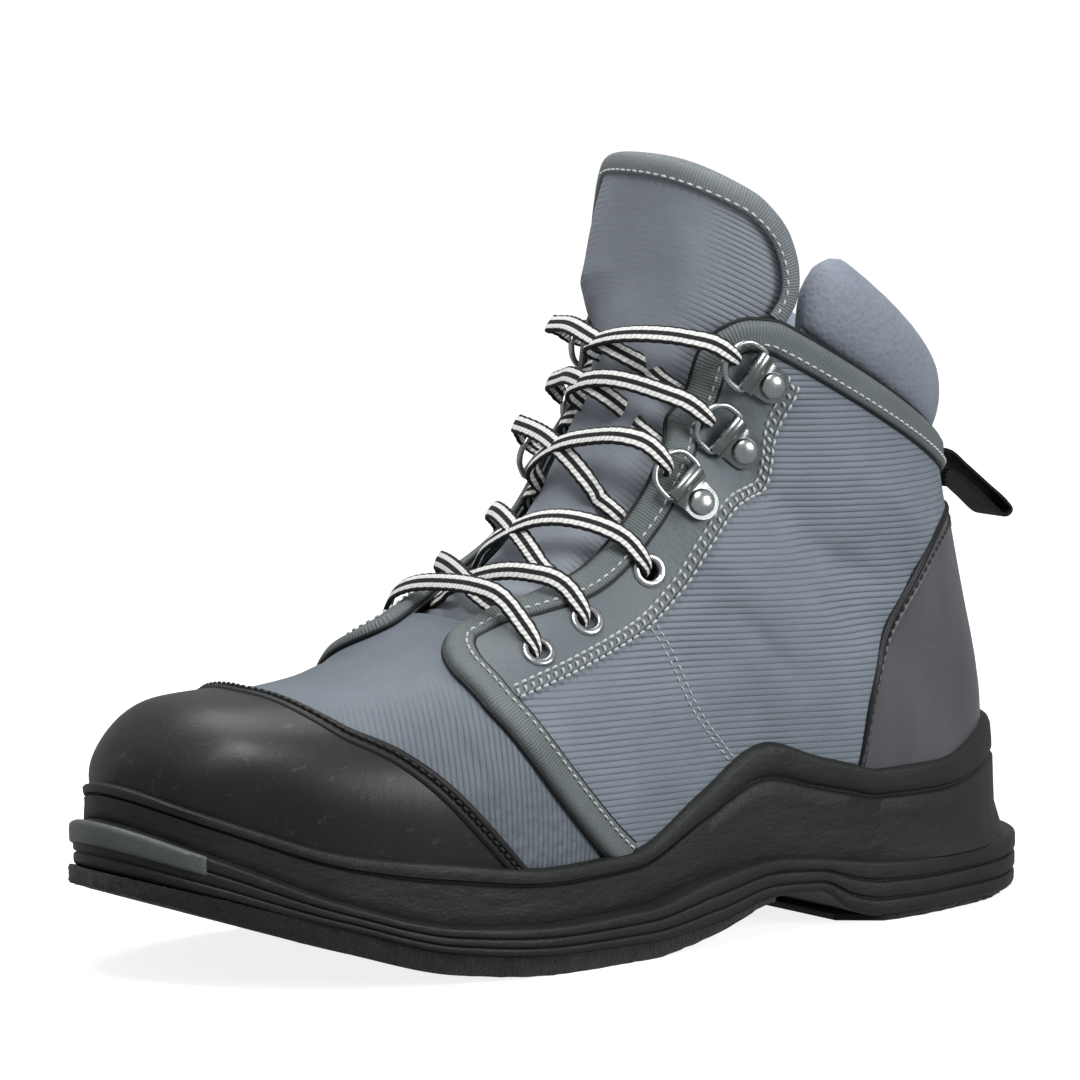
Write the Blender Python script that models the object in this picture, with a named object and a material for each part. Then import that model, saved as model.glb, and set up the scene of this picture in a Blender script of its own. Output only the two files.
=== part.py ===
"""A left wading boot, as its maker would put it together: felt outsole, midsole, rand, insole, upper, tongue,
toe cap, heel counter, eyestays, edge bindings, padded collar, eyelets, lace clips, laces and pull loop.

Metres, +Z up, toe towards -Y and the wearer's left (the outer side) towards +X. The origin is on the floor,
under the middle of the boot.
"""

import math

import bmesh
import bpy
import numpy as np
from mathutils import Vector
from mathutils.bvhtree import BVHTree

# Driving sizes of the last and the boot
LAST_LENGTH = 0.299  # heel back to toe tip of the last
BALL_WIDTH = 0.101  # across the last's joint
SOLE_STACK = 0.0262  # floor to the foot's bed at the heel
COLLAR_HEIGHT = 0.150  # foot's bed to the front corner of the quarters
WALL = 0.0022  # upper's cloth and lining
GAP = 0.0003  # between pieces that lie face to face

# The last's bottom in plan: how far forward, how far the middle swings to the outer side, and half the width.
# Forward is a share of LAST_LENGTH, the rest are shares of BALL_WIDTH.
# Columns: fore, swing, half
PLAN = (
    (0.000, 0.000, 0.000),
    (0.055, 0.000, 0.240),
    (0.100, 0.000, 0.290),
    (0.195, 0.005, 0.342),
    (0.337, 0.018, 0.349),
    (0.450, 0.022, 0.393),
    (0.573, 0.016, 0.449),
    (0.678, 0.008, 0.480),
    (0.754, -0.008, 0.468),
    (0.858, -0.034, 0.415),
    (0.944, -0.060, 0.294),
    (1.000, -0.067, 0.000),
)

# Sections of the upper, from the toe tip, over the instep and round the heel, up to the tongue's tip. Each lies
# in the plane through its ridge (front) and base (sole or back) points. Forward places are shares of
# LAST_LENGTH and rises are shares of COLLAR_HEIGHT above the foot's bed. Swell widens the last's own bottom, puff
# is the shaft's half width as a share of BALL_WIDTH, widest is where the section is widest as a share of its
# height, and round is the exponent of its upper curve.
SECTION_COLUMNS = (
    "ridge_fore", "ridge_rise", "base_fore", "base_rise", "swell", "puff", "widest", "round",
)
SECTIONS = (
    (1.000, 0.213, 1.000, 0.129, 1.00, 0.000, 0.40, 2.2),  # toe tip
    (0.988, 0.252, 0.971, 0.103, 1.03, 0.000, 0.39, 2.3),  # toe front
    (0.929, 0.335, 0.912, 0.058, 1.03, 0.000, 0.38, 2.4),  # toe box
    (0.847, 0.345, 0.838, 0.010, 1.05, 0.000, 0.36, 2.4),  # end of the toe cap
    (0.760, 0.368, 0.753, -0.028, 1.06, 0.000, 0.34, 2.4),  # ball
    (0.697, 0.419, 0.662, -0.039, 1.06, 0.000, 0.32, 2.5),  # vamp
    (0.633, 0.484, 0.562, -0.023, 1.06, 0.030, 0.32, 2.6),  # throat
    (0.571, 0.561, 0.448, 0.009, 1.05, 0.100, 0.32, 2.6),  # waist
    (0.523, 0.671, 0.312, 0.019, 1.03, 0.160, 0.34, 2.5),  # instep
    (0.490, 0.774, 0.182, 0.003, 1.02, 0.240, 0.40, 2.4),  # ankle bend
    (0.468, 0.858, 0.065, 0.000, 1.00, 0.330, 0.46, 2.4),  # heel
    (0.460, 0.900, 0.000, 0.010, 1.00, 0.360, 0.47, 2.4),  # heel seat
    (0.453, 0.942, -0.010, 0.148, 1.00, 0.380, 0.50, 2.4),  # back of the heel
    (0.443, 1.026, 0.024, 0.406, 1.00, 0.385, 0.52, 2.4),  # above the counter
    (0.437, 1.103, 0.058, 0.710, 1.00, 0.385, 0.54, 2.5),  # quarters' top edge
    (0.432, 1.323, 0.070, 0.910, 1.00, 0.420, 0.54, 2.5),  # collar and tongue top
)
HEEL_SEAT, QUARTER_TOP, COLLAR_TOP = 11, 14, 15  # rows of SECTIONS
VAMP_EDGE = 5.75  # where the vamp ends under the laces

# The outer quarter's free edge, from the rand, round the front corner, up the throat and back round the collar.
# The inner quarter mirrors it. A station is a row of SECTIONS, a girth a share of the way down to the feather.
# Columns: station, girth
QUARTER_EDGE = (
    (6.00, 0.905),
    (5.70, 0.780),
    (5.42, 0.660),
    (5.18, 0.540),
    (5.00, 0.420),
    (4.97, 0.310),
    (5.12, 0.205),
    (5.50, 0.150),
    (6.00, 0.160),
    (6.55, 0.200),
    (7.30, 0.225),
    (8.55, 0.195),
    (9.80, 0.155),
    (10.80, 0.130),
    (12.00, 0.145),
    (12.80, 0.165),
    (13.50, 0.215),
    (13.85, 0.270),
    (14.00, 0.340),
    (14.00, 0.420),
    (14.00, 0.600),
    (14.00, 0.800),
    (14.00, 1.000),
)
THROAT_ROWS = slice(7, 19)  # the rows that run up the throat

# Where the eyestay is stitched to the quarter
EYESTAY_SEAM = (
    (5.38, 0.440),
    (6.40, 0.430),
    (7.35, 0.410),
    (8.20, 0.365),
    (9.00, 0.315),
    (10.00, 0.285),
    (12.10, 0.285),
    (13.40, 0.355),
)

# The toe cap's back edge: a station for each girth
# Columns: girth, station
CAP_EDGE = (
    (0.00, 2.72),
    (0.26, 2.82),
    (0.44, 3.05),
    (0.55, 3.50),
    (0.71, 4.12),
    (0.88, 4.70),
    (1.00, 5.05),
)

# The counter's top edge: a height over the floor, as a share of COLLAR_HEIGHT, for each place forward of the heel
# Columns: fore, rise
COUNTER_EDGE = (
    (0.000, 0.790),
    (0.060, 0.785),
    (0.115, 0.765),
    (0.150, 0.705),
    (0.178, 0.630),
    (0.212, 0.545),
    (0.230, 0.480),
    (0.238, 0.360),
)

FOREFOOT_FLAT = (0.542, 0.640)  # where the forefoot rests, as shares of LAST_LENGTH

# The sole's side along its length: forward as a share of LAST_LENGTH, heights as shares of SOLE_STACK, and how
# far the sole unit stands out as a share of FLANGE
SOLE_COLUMNS = ("fore", "floor", "felt", "step", "rand", "out")
SOLE = (
    (0.000, 0.00, 0.07, 0.70, 2.07, 1.45),
    (0.143, 0.00, 0.07, 0.65, 1.74, 1.10),
    (0.221, 0.00, 0.07, 0.69, 1.74, 1.00),
    (0.255, 0.09, 0.07, 0.74, 1.83, 0.95),
    (0.299, 0.37, 0.06, 0.81, 1.96, 0.90),
    (0.362, 0.39, 0.06, 0.87, 2.17, 0.90),
    (0.445, 0.15, 0.13, 0.78, 1.72, 0.95),
    (FOREFOOT_FLAT[0], 0.00, 0.20, 0.57, 1.18, 1.00),
    (FOREFOOT_FLAT[1], 0.00, 0.22, 0.54, 1.14, 1.00),
    (0.757, 0.11, 0.24, 0.63, 1.30, 1.00),
    (0.854, 0.41, 0.26, 0.93, 1.46, 0.95),
    (0.932, 0.72, 0.26, 1.26, 1.67, 0.84),
    (1.000, 1.04, 0.26, 1.59, 1.96, 0.72),
)

# The rand's outer side from top to bottom: depth down the wall and thickness, as a share of RAND_WALL
RAND_WALL = 0.0034
# Columns: down, thick
RAND_PROFILE = (
    (0.00, 0.70),
    (0.05, 0.95),
    (0.27, 1.05),
    (0.31, 0.75),
    (0.36, 1.10),
    (0.97, 1.20),
    (1.00, 1.00),
)

# The sole unit's side from its step down to the felt: depth and how far it stands out, a share of FLANGE
FLANGE = 0.0112  # beyond the last's bottom
# Columns: down, out
FLANGE_PROFILE = (
    (0.00, 0.90),
    (0.08, 1.00),
    (0.30, 1.00),
    (0.36, 0.92),
    (0.42, 0.99),
    (0.64, 0.99),
    (0.70, 0.91),
    (0.76, 0.97),
    (0.93, 0.97),
    (1.00, 0.90),
)

# Cloth, tape and hardware
CAP_THICK = 0.0014
PANEL_THICK = 0.0008
TAPE_WIDTH = 0.0070
TAPE_THICK = 0.0009
INSOLE_THICK = 0.0045
INSOLE_CUT = 0.87  # share of the last's length at which the insole's toe piece starts
TONGUE_THICK = 0.0095
TONGUE_EDGE = 0.0024
TONGUE_HALF = 0.0580  # half its width, along the cloth
TONGUE_SINK = WALL + 0.0011  # its face under the eyestays
HEEL_FELT_END = 0.221
FELT_START = 0.362
EYELETS = ((6.00, 0.350), (6.85, 0.330), (8.00, 0.300))
RING_MOUNTS = ((9.30, 0.250), (11.60, 0.235), (13.10, 0.290))
EYELET_FLANGE = 0.0100
EYELET_HOLE = 0.0058
BARREL = 0.0068
WIRE = 0.0018
RING_WIDTH = 0.0136
RING_REACH = 0.0100
BAR_REACH = 0.0074  # rivet to the ring's bar
BAR_HEIGHT = 0.0022
CLIP_WIDTH = 0.0106
CLIP_THICK = 0.0009
RIVET = 0.0078
LACE_WIDTH = 0.0058
LACE_THICK = 0.0018
LOOP_WIDTH = 0.0135
LOOP_REACH = 0.0305
WEBBING = 0.0011


def slopes_of(keys, values):
    """Slopes of a cubic that never overshoots its rows."""
    steps = np.diff(keys)
    rises = np.diff(values, axis=0) / steps[:, None]
    slopes = np.zeros_like(values)
    left, right = rises[:-1], rises[1:]
    same = left * right > 0
    weight_left = (2 * steps[1:] + steps[:-1])[:, None]
    weight_right = (steps[1:] + 2 * steps[:-1])[:, None]
    total = weight_left + weight_right
    with np.errstate(divide="ignore", invalid="ignore"):
        mean = total / (weight_left / left + weight_right / right)
    slopes[1:-1] = np.where(same, mean, 0.0)
    slopes[0], slopes[-1] = rises[0], rises[-1]
    return slopes


class Track:
    """A smooth curve through the rows of a table, read at any place along its key."""

    def __init__(self, keys, values):
        self.keys = np.asarray(keys, float)
        self.values = np.asarray(values, float)
        self.slopes = slopes_of(self.keys, self.values)

    def at(self, key):
        """The row at one key or, for an array of keys, a row for each."""
        key = np.clip(np.asarray(key, float), self.keys[0], self.keys[-1])
        i = np.clip(np.searchsorted(self.keys, key, side="right") - 1, 0, len(self.keys) - 2)
        step = self.keys[i + 1] - self.keys[i]
        u = ((key - self.keys[i]) / step)[..., None]
        step = step[..., None]
        v0, v1 = self.values[i], self.values[i + 1]
        m0, m1 = self.slopes[i] * step, self.slopes[i + 1] * step
        square, cube = u * u, u * u * u
        return (
            v0 * (2 * cube - 3 * square + 1)
            + m0 * (cube - 2 * square + u)
            + v1 * (3 * square - 2 * cube)
            + m1 * (cube - square)
        )


def plan_track():
    """The last's bottom. Half widths are kept squared, which makes both ends round."""
    rows = np.array(PLAN)
    rows[:, 2] = rows[:, 2] ** 2
    return Track(rows[:, 0], rows[:, 1:])


PLAN_TRACK = plan_track()


def plan_at(fore):
    """(swing, half width) of the last's bottom in metres, at a share of its length."""
    row = PLAN_TRACK.at(fore)
    half = np.sqrt(np.maximum(row[..., 1], 0.0))
    inside = (np.asarray(fore) > 0) & (np.asarray(fore) < 1)
    return row[..., 0] * BALL_WIDTH, np.where(inside, half, 0.0) * BALL_WIDTH


SECTION_TRACK = Track(range(len(SECTIONS)), SECTIONS)
SECTION_TRACK.slopes[0, [0, 2]] = 0.0  # the toe's tip is round in plan
CURVE_STEPS = 28


def section_at(t):
    """The half section at station t: fore, half width and rise of points from the ridge to the base."""
    row = dict(zip(SECTION_COLUMNS, SECTION_TRACK.at(t)))
    base_half = plan_at(row["base_fore"])[1] if t < HEEL_SEAT else 0.0
    widest_half = math.hypot(base_half * row["swell"], row["puff"] * BALL_WIDTH)
    base_half = min(base_half, widest_half * 0.97)
    turn = np.linspace(0, math.pi / 2, CURVE_STEPS)
    power = 2 / row["round"]
    upper_half = widest_half * np.sin(turn) ** power
    upper_height = row["widest"] + (1 - row["widest"]) * np.cos(turn) ** power
    lower_half = base_half + (widest_half - base_half) * np.cos(turn)
    lower_height = row["widest"] * (1 - np.sin(turn))
    half = np.concatenate([upper_half, lower_half[1:]])
    height = np.concatenate([upper_height, lower_height[1:]])
    fore = (row["base_fore"] + (row["ridge_fore"] - row["base_fore"]) * height) * LAST_LENGTH
    rise = (row["base_rise"] + (row["ridge_rise"] - row["base_rise"]) * height) * COLLAR_HEIGHT
    return fore, half, rise


def surface(t, girths):
    """Points on the last at station t. A girth is 0 on the ridge, 1 at the outer and -1 at the inner feather edge."""
    fore, half, rise = section_at(t)
    girths = np.asarray(girths, float)
    lengths = np.sqrt(np.diff(fore) ** 2 + np.diff(half) ** 2 + np.diff(rise) ** 2)
    travel = np.concatenate([[0.0], np.cumsum(lengths)])
    place = np.abs(girths) * travel[-1]
    at_fore = np.interp(place, travel, fore)
    at_half = np.interp(place, travel, half) * np.sign(girths)
    at_rise = np.interp(place, travel, rise)
    swing = plan_at(at_fore / LAST_LENGTH)[0]
    return np.stack([swing + at_half, -at_fore, SOLE_STACK + at_rise], axis=-1)


def girth_length(t):
    """The half section's length at station t."""
    fore, half, rise = section_at(t)
    return float(np.sqrt(np.diff(fore) ** 2 + np.diff(half) ** 2 + np.diff(rise) ** 2).sum())


def grid(points, closed=False):
    """Vertices and faces of a sheet given as rows of points. The faces look outwards on the last."""
    points = np.asarray(points, float)
    rows, columns = points.shape[:2]
    faces = []
    last = columns if closed else columns - 1
    for i in range(rows - 1):
        for j in range(last):
            k = (j + 1) % columns
            faces.append((i * columns + j, i * columns + k, (i + 1) * columns + k, (i + 1) * columns + j))
    return points.reshape(-1, 3), faces


def welded(points, faces):
    """Joins points that lie in one place. Also returns which old point each new one came from."""
    found, index, origin = {}, [], []
    for k, point in enumerate(points):
        key = tuple(np.round(point * 1e6).astype(int))
        if key not in found:
            found[key] = len(origin)
            origin.append(k)
        index.append(found[key])
    kept = []
    for face in faces:
        ring = [index[k] for k in face]
        ring = [k for n, k in enumerate(ring) if k != ring[n - 1]]
        if len(set(ring)) > 2:
            kept.append(tuple(ring))
    return np.asarray(points)[origin], kept, np.array(origin)


def normals_of(points, faces):
    """Area-weighted normals at the points."""
    total = np.zeros_like(points)
    for face in faces:
        ring = points[list(face)]
        normal = np.zeros(3)
        for a, b in zip(ring, np.roll(ring, -1, axis=0)):
            normal += np.cross(a, b)
        for k in face:
            total[k] += normal
    return total / np.maximum(np.linalg.norm(total, axis=1, keepdims=True), 1e-12)


def material(name, colour, roughness, metallic=0.0):
    """A plain material of one colour."""
    made = bpy.data.materials.new(name)
    made.use_nodes = True
    shader = made.node_tree.nodes["Principled BSDF"]
    shader.inputs["Base Color"].default_value = (*colour, 1.0)
    shader.inputs["Roughness"].default_value = roughness
    shader.inputs["Metallic"].default_value = metallic
    return made


def add_piece(name, points, faces, surface_material):
    """One named closed piece, with its faces looking outwards."""
    mesh = bpy.data.meshes.new(name)
    mesh.from_pydata([tuple(p) for p in points], [], [tuple(f) for f in faces])
    work = bmesh.new()
    work.from_mesh(mesh)
    bmesh.ops.triangulate(work, faces=work.faces[:])
    bmesh.ops.recalc_face_normals(work, faces=work.faces[:])
    work.to_mesh(mesh)
    work.free()
    mesh.materials.append(surface_material)
    mesh.shade_smooth()
    mesh.set_sharp_from_angle(angle=math.radians(40))
    piece = bpy.data.objects.new(name, mesh)
    bpy.context.scene.collection.objects.link(piece)
    piece.parent = BOOT
    return piece


FACES = {}  # each laid piece's faces, for finding places on them
FAR_OFF = 0.0020  # a place found further under the base than this belongs to another fold of it
SAMPLES = [(a / 4, b / 4, 1 - a / 4 - b / 4) for a in range(5) for b in range(5 - a)]


def fanned(faces):
    """The faces cut into triangles, always in the same way."""
    return [(face[0], face[k], face[k + 1]) for face in faces for k in range(1, len(face) - 1)]


def stand_off(points, faces, ways, lift, base, clear):
    """Raises a sheet's lifts along its points' ways until all of its faces clear the base."""
    lift = np.array(lift, float)
    weights = np.array(SAMPLES)
    triangles = fanned(faces)
    for _ in range(20):
        spots = points + ways * lift[:, None]
        raised = lift.copy()
        for triangle in triangles:
            corners = spots[list(triangle)]
            short = 0.0
            for spot in weights @ corners:
                place, normal = base.drape(spot)
                high = float(np.dot(spot - place, normal))
                beside = np.linalg.norm(spot - place - normal * high)
                if beside < clear and high > -FAR_OFF:
                    short = max(short, clear - high)
            if short > 0.00002:
                for k in triangle:
                    raised[k] = max(raised[k], lift[k] + short * 0.9)
        if np.array_equal(raised, lift):
            break
        lift = raised
    return lift


def slab(name, points, faces, lift, thick, surface_material, base=None):
    """A closed piece laid on a sheet: its under side lifted off the sheet, its upper side thick above that.
    With a base, the sheet is first laid on that mesh and then raised until it clears it."""
    points = np.asarray(points, float)
    lift = np.broadcast_to(np.asarray(lift, float), (len(points),))
    thick = np.broadcast_to(np.asarray(thick, float), (len(points),))
    points, faces, origin = welded(points, faces)
    faces = fanned(faces)
    lift, thick = lift[origin][:, None], thick[origin][:, None]
    if base is not None:
        draped = [base.drape(point) for point in points]
        points = np.array([place for place, _ in draped])
        if (normals_of(points, faces) * [normal for _, normal in draped]).sum() < 0:
            faces = [tuple(reversed(face)) for face in faces]
    normals = normals_of(points, faces)
    if base is not None:
        lift = stand_off(points, faces, normals, lift[:, 0], base, 1.3 * GAP)[:, None]
    count = len(points)
    both = np.concatenate([points + normals * lift, points + normals * (lift + thick)])
    made = [tuple(reversed(face)) for face in faces] + [tuple(k + count for k in face) for face in faces]
    edges = {}
    for face in faces:
        for a, b in zip(face, face[1:] + face[:1]):
            edges[(a, b)] = True
    for a, b in edges:
        if (b, a) not in edges:
            made.append((a, b, b + count, a + count))
    FACES[name] = Skin(both, made)
    return add_piece(name, both, made, surface_material)


def tube(name, centres, sides, ups, profile, surface_material, closed=False):
    """A closed section carried along a path. The profile is (side, up) pairs, or one list of them for each place."""
    rows = []
    profile = np.asarray(profile, float)
    if profile.ndim == 2:
        profile = np.broadcast_to(profile, (len(centres),) + profile.shape)
    for centre, side, up, ring in zip(centres, sides, ups, profile):
        rows.append(np.asarray(centre) + ring[:, :1] * np.asarray(side) + ring[:, 1:] * np.asarray(up))
    rows = np.array(rows)
    if closed:
        rows = np.concatenate([rows, rows[:1]])
    points, faces = grid(rows, closed=True)
    if not closed:
        ring = profile.shape[1]
        faces.append(tuple(range(ring)))
        faces.append(tuple(len(points) - 1 - k for k in range(ring)))
    points, faces, _ = welded(points, faces)
    return add_piece(name, points, faces, surface_material)


def turned(name, origin, axis, profile, segments, surface_material):
    """A closed profile of (radius, height) pairs turned round an axis."""
    axis = Vector(axis).normalized()
    across = axis.orthogonal().normalized()
    other = axis.cross(across)
    rows = []
    for k in range(segments):
        turn = 2 * math.pi * k / segments
        out = across * math.cos(turn) + other * math.sin(turn)
        rows.append([tuple(Vector(origin) + out * r + axis * h) for r, h in profile])
    rows.append(rows[0])
    points, faces = grid(np.array(rows), closed=True)
    points, faces, _ = welded(points, faces)
    return add_piece(name, points, faces, surface_material)


def fine_skin():
    """The upper's outer surface up to the tongue's top, in small faces."""
    stations = np.concatenate([np.linspace(0, 1, 9) ** 2, np.linspace(1, COLLAR_TOP, 113)[1:]])
    return grid([surface(t, np.linspace(-1, 1, 121)) for t in stations])


class Skin:
    """A sheet of faces, for finding places on it."""

    def __init__(self, points, faces):
        self.tree = BVHTree.FromPolygons([tuple(p) for p in points], fanned(faces))

    def drape(self, point):
        """The nearest place on the surface and its outward normal."""
        place, normal, _, _ = self.tree.find_nearest(Vector(point))
        return np.array(place), np.array(normal)

    def cast(self, point, direction):
        """The first place that a ray from outside meets, or None."""
        place, _, _, _ = self.tree.ray_cast(Vector(point), Vector(direction))
        return None if place is None else np.array(place)


PATCH = 0.0060  # half the size of the patch over which hardware sits flat
PATCH_STATIONS = 0.35  # the same along the throat


def frame_at(skin, t, g):
    """A seat for hardware: the point, the patch's outward normal and the way towards the ridge along the cloth."""
    point = skin.drape(surface(t, [g])[0])[0]
    share = math.copysign(PATCH / girth_length(t), g)
    out = surface(t, [g + share])[0] - surface(t, [g - share])[0]
    up = surface(t + PATCH_STATIONS, [g])[0] - surface(t - PATCH_STATIONS, [g])[0]
    normal = np.cross(out, up) * math.copysign(1.0, g)
    normal /= np.linalg.norm(normal)
    towards = -out - normal * np.dot(-out, normal)
    return point, normal, towards / np.linalg.norm(towards)


def seat_height(faces, point, normal, towards, footprint):
    """How high the faces stand over a seat, within a footprint of (reach, side) places."""
    side = np.cross(normal, towards)
    high = 0.0
    for a, b in footprint:
        above = point + towards * a + side * b + normal * 0.02
        found = faces.cast(above, -normal)
        if found is not None:
            high = max(high, float(np.dot(found - point, normal)))
    return high


def smooth_path(rows, count):
    """Evenly spaced places along a curve through the rows."""
    rows = np.asarray(rows, float)
    keys = np.arange(len(rows))
    track = Track(keys, rows)
    fine = np.linspace(0, len(rows) - 1, 40 * len(rows))
    places = track.at(fine)
    spots = np.array([surface(t, [g])[0] for t, g in places])
    travel = np.concatenate([[0.0], np.cumsum(np.linalg.norm(np.diff(spots, axis=0), axis=1))])
    return track.at(np.interp(np.linspace(0, travel[-1], count), travel, fine))


def throat_girth(t):
    """Girth of the quarters' free edge at station t."""
    rows = np.array(QUARTER_EDGE[THROAT_ROWS])
    return float(np.interp(t, rows[:, 0], rows[:, 1]))


def seam_girth(t):
    """Girth of the eyestay's seam at station t."""
    rows = np.array(EYESTAY_SEAM)
    return float(np.interp(t, rows[:, 0], rows[:, 1]))


SOLE_TRACK = Track([row[0] for row in SOLE], np.array(SOLE)[:, 1:])


def sole_at(fore, column):
    """A height of the sole's side, or how far it stands out, in metres at a share of the last's length."""
    size = FLANGE if column == "out" else SOLE_STACK
    return SOLE_TRACK.at(fore)[..., SOLE_COLUMNS.index(column) - 1] * size


def feather_heights():
    """Where the upper's lower edge runs: shares of the last's length and heights over the floor."""
    rows = SECTION_TRACK.at(np.linspace(0, HEEL_SEAT, 200))
    fore = rows[::-1, SECTION_COLUMNS.index("base_fore")]
    rise = rows[::-1, SECTION_COLUMNS.index("base_rise")]
    return fore, SOLE_STACK + rise * COLLAR_HEIGHT


FEATHER_FORE, FEATHER_HEIGHT = feather_heights()


def feather_at(fore):
    """Height of the upper's lower edge."""
    return np.interp(fore, FEATHER_FORE, FEATHER_HEIGHT)


class Outline:
    """A loop round the last's bottom between two shares of its length, or round the whole of it."""

    def __init__(self, shares):
        shares = np.asarray(shares, float)
        swing, half = plan_at(shares)
        outer = np.stack([swing + half, -shares * LAST_LENGTH], -1)
        inner = np.stack([swing - half, -shares * LAST_LENGTH], -1)
        size = len(shares)
        order = [("o", k) for k in range(size)] + [("i", k) for k in range(size - 1, -1, -1)]
        order = [(s, k) for s, k in order if s == "o" or half[k] > 0]
        self.points = np.array([outer[k] if s == "o" else inner[k] for s, k in order])
        self.shares = np.array([shares[k] for s, k in order])
        place = {item: n for n, item in enumerate(order)}
        self.pairs = [(place[("o", k)], place.get(("i", k), place[("o", k)])) for k in range(size)]
        ahead = np.roll(self.points, -1, axis=0) - np.roll(self.points, 1, axis=0)
        normals = np.stack([-ahead[:, 1], ahead[:, 0]], -1)
        normals /= np.linalg.norm(normals, axis=1, keepdims=True)
        middle = self.points.mean(axis=0)
        if ((self.points - middle) * normals).sum() < 0:
            normals = -normals
        self.normals = normals

    def loop(self, offset, height):
        """The loop moved outwards and set at a height. Both may be numbers or one value for each point."""
        offset = np.broadcast_to(offset, self.shares.shape)[:, None]
        height = np.broadcast_to(height, self.shares.shape)
        return np.column_stack([self.points + self.normals * offset, height])

    def between(self, first, last):
        """The part of the loop from one share of the length to another. Where it is cut, it moves only sideways."""
        keep = (self.shares >= first) & (self.shares <= last)
        part = Outline(np.unique(self.shares[keep]))
        part.normals = self.normals[keep]
        cut = np.isin(part.shares, (first, last)) & (part.shares > 0) & (part.shares < 1)
        part.normals[cut] = np.sign(part.normals[cut]) * (1, 0)
        return part

    def caps(self, start):
        """Faces across the loop whose first point is start."""
        faces = []
        for (a, b), (c, d) in zip(self.pairs, self.pairs[1:]):
            ring = [a, c, d, b]
            ring = [k for n, k in enumerate(ring) if k != ring[n - 1]]
            faces.append(tuple(k + start for k in ring))
        return faces


def stacked(name, outline, loops, surface_material, hollow=False):
    """A piece made of loops, one above another. A hollow one closes on its first loop, others get two caps."""
    rows = list(loops) + ([loops[0]] if hollow else [])
    points, faces = grid(rows, closed=True)
    if not hollow:
        faces += outline.caps(0) + outline.caps(len(points) - len(outline.points))
    points, faces, _ = welded(points, faces)
    return add_piece(name, points, faces, surface_material)


def row_girths(edge):
    """Girths of one row of the upper: close together round the instep's shoulder, wider apart below it."""
    shoulder = max(edge + 0.22, 0.46)
    side = np.concatenate([
        np.linspace(0, edge, VAMP_COLUMNS), np.linspace(edge, shoulder, 5)[1:], np.linspace(shoulder, 1, 7)[1:],
    ])
    return np.concatenate([-side[:0:-1], side])


UPPER_STATIONS = (
    0.0, 0.07, 0.28, 0.65, 1.2, 2.0, 2.9, 3.8, 4.6, 5.2, VAMP_EDGE, 6.3, 7.0, 7.8, 8.6, 9.4, 10.1,
    10.55, 10.82, 11.0, 11.7, 12.4, 13.1, 13.7, 14.0,
)
VAMP_COLUMNS = 3


def build_upper(skin_material):
    """Vamp and quarters in one hollow piece, open at the collar, the throat and underneath. Also returns its
    outer faces as a sheet for the pieces that lie on them."""
    rows = []
    for t in UPPER_STATIONS:
        rows.append(surface(t, row_girths(throat_girth(t))))
    points, faces = grid(rows)
    columns = len(rows[0])
    middle = columns // 2
    edge_row = UPPER_STATIONS.index(VAMP_EDGE)
    kept = []
    for face in faces:
        row, column = divmod(face[0], columns)
        in_throat = row >= edge_row and middle - VAMP_COLUMNS < column < middle + VAMP_COLUMNS - 1
        if not in_throat:
            kept.append(face)
    used = sorted({k for face in kept for k in face})
    place = {k: n for n, k in enumerate(used)}
    kept = [tuple(place[k] for k in face) for face in kept]
    return slab("upper", points[used], kept, -WALL, WALL, skin_material), Skin(points, faces)


def height_girth(t, height):
    """The girth at which the section at station t comes down to a height."""
    girths = np.linspace(0, 1, 60)
    heights = surface(t, girths)[:, 2]
    return float(np.interp(-height, -heights, girths))


def build_toe_cap(base, cap_material):
    """The cap over the toe, from its stitched back edge down to the rand."""
    cap = np.array(CAP_EDGE)
    columns = np.linspace(-1, 1, 17)
    rows = []
    for share in (0.0, 0.025, 0.09, 0.20, 0.36, 0.54, 0.76, 1.0):
        row = []
        for column in columns:
            girth = abs(column)
            for _ in range(6):
                t = share * float(np.interp(girth, cap[:, 0], cap[:, 1]))
                rand = sole_at(surface(t, [1.0])[0, 1] / -LAST_LENGTH, "rand") + 5 * GAP
                girth = abs(column) * height_girth(t, rand)
            row.append(surface(t, [math.copysign(girth, column)])[0])
        rows.append(row)
    points, faces = grid(rows)
    return slab("toe_cap", points, faces, GAP, CAP_THICK, cap_material, base)


def wall_point(skin, outline, k, height):
    """Where the upper's wall stands beside one point of an outline, at a height."""
    point, normal = outline.points[k], outline.normals[k]
    away = np.array([*(point + normal * BALL_WIDTH), height])
    found = skin.cast(away, (-normal[0], -normal[1], 0.0))
    if found is None or np.dot(found[:2] - point, normal) < 0:
        return 0.0
    return float(np.dot(found[:2] - point, normal))


def build_heel_counter(skin, counter_material):
    """The stiff cap round the heel, from the rand up to its piped edge."""
    edge = np.array(COUNTER_EDGE)
    outline = Outline([0.0, 0.015, 0.045, 0.085, 0.125, 0.165, 0.202, 0.231, 0.262])
    pairs = outline.pairs[:-1]
    order = [inner for _, inner in pairs[:0:-1]] + [outer for outer, _ in pairs]
    rows = []
    for v in np.linspace(0, 1, 7):
        row = []
        for k in order:
            share = outline.shares[k]
            low = sole_at(share, "rand") + 5 * GAP
            high = float(np.interp(share, edge[:, 0], edge[:, 1])) * COLLAR_HEIGHT
            height = low + (high - low) * v
            off = wall_point(skin, outline, k, height)
            row.append([*(outline.points[k] + outline.normals[k] * off), height])
        rows.append(row)
    points, faces = grid(rows)
    return slab("heel_counter", points, faces, GAP, CAP_THICK, counter_material, skin)


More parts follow.
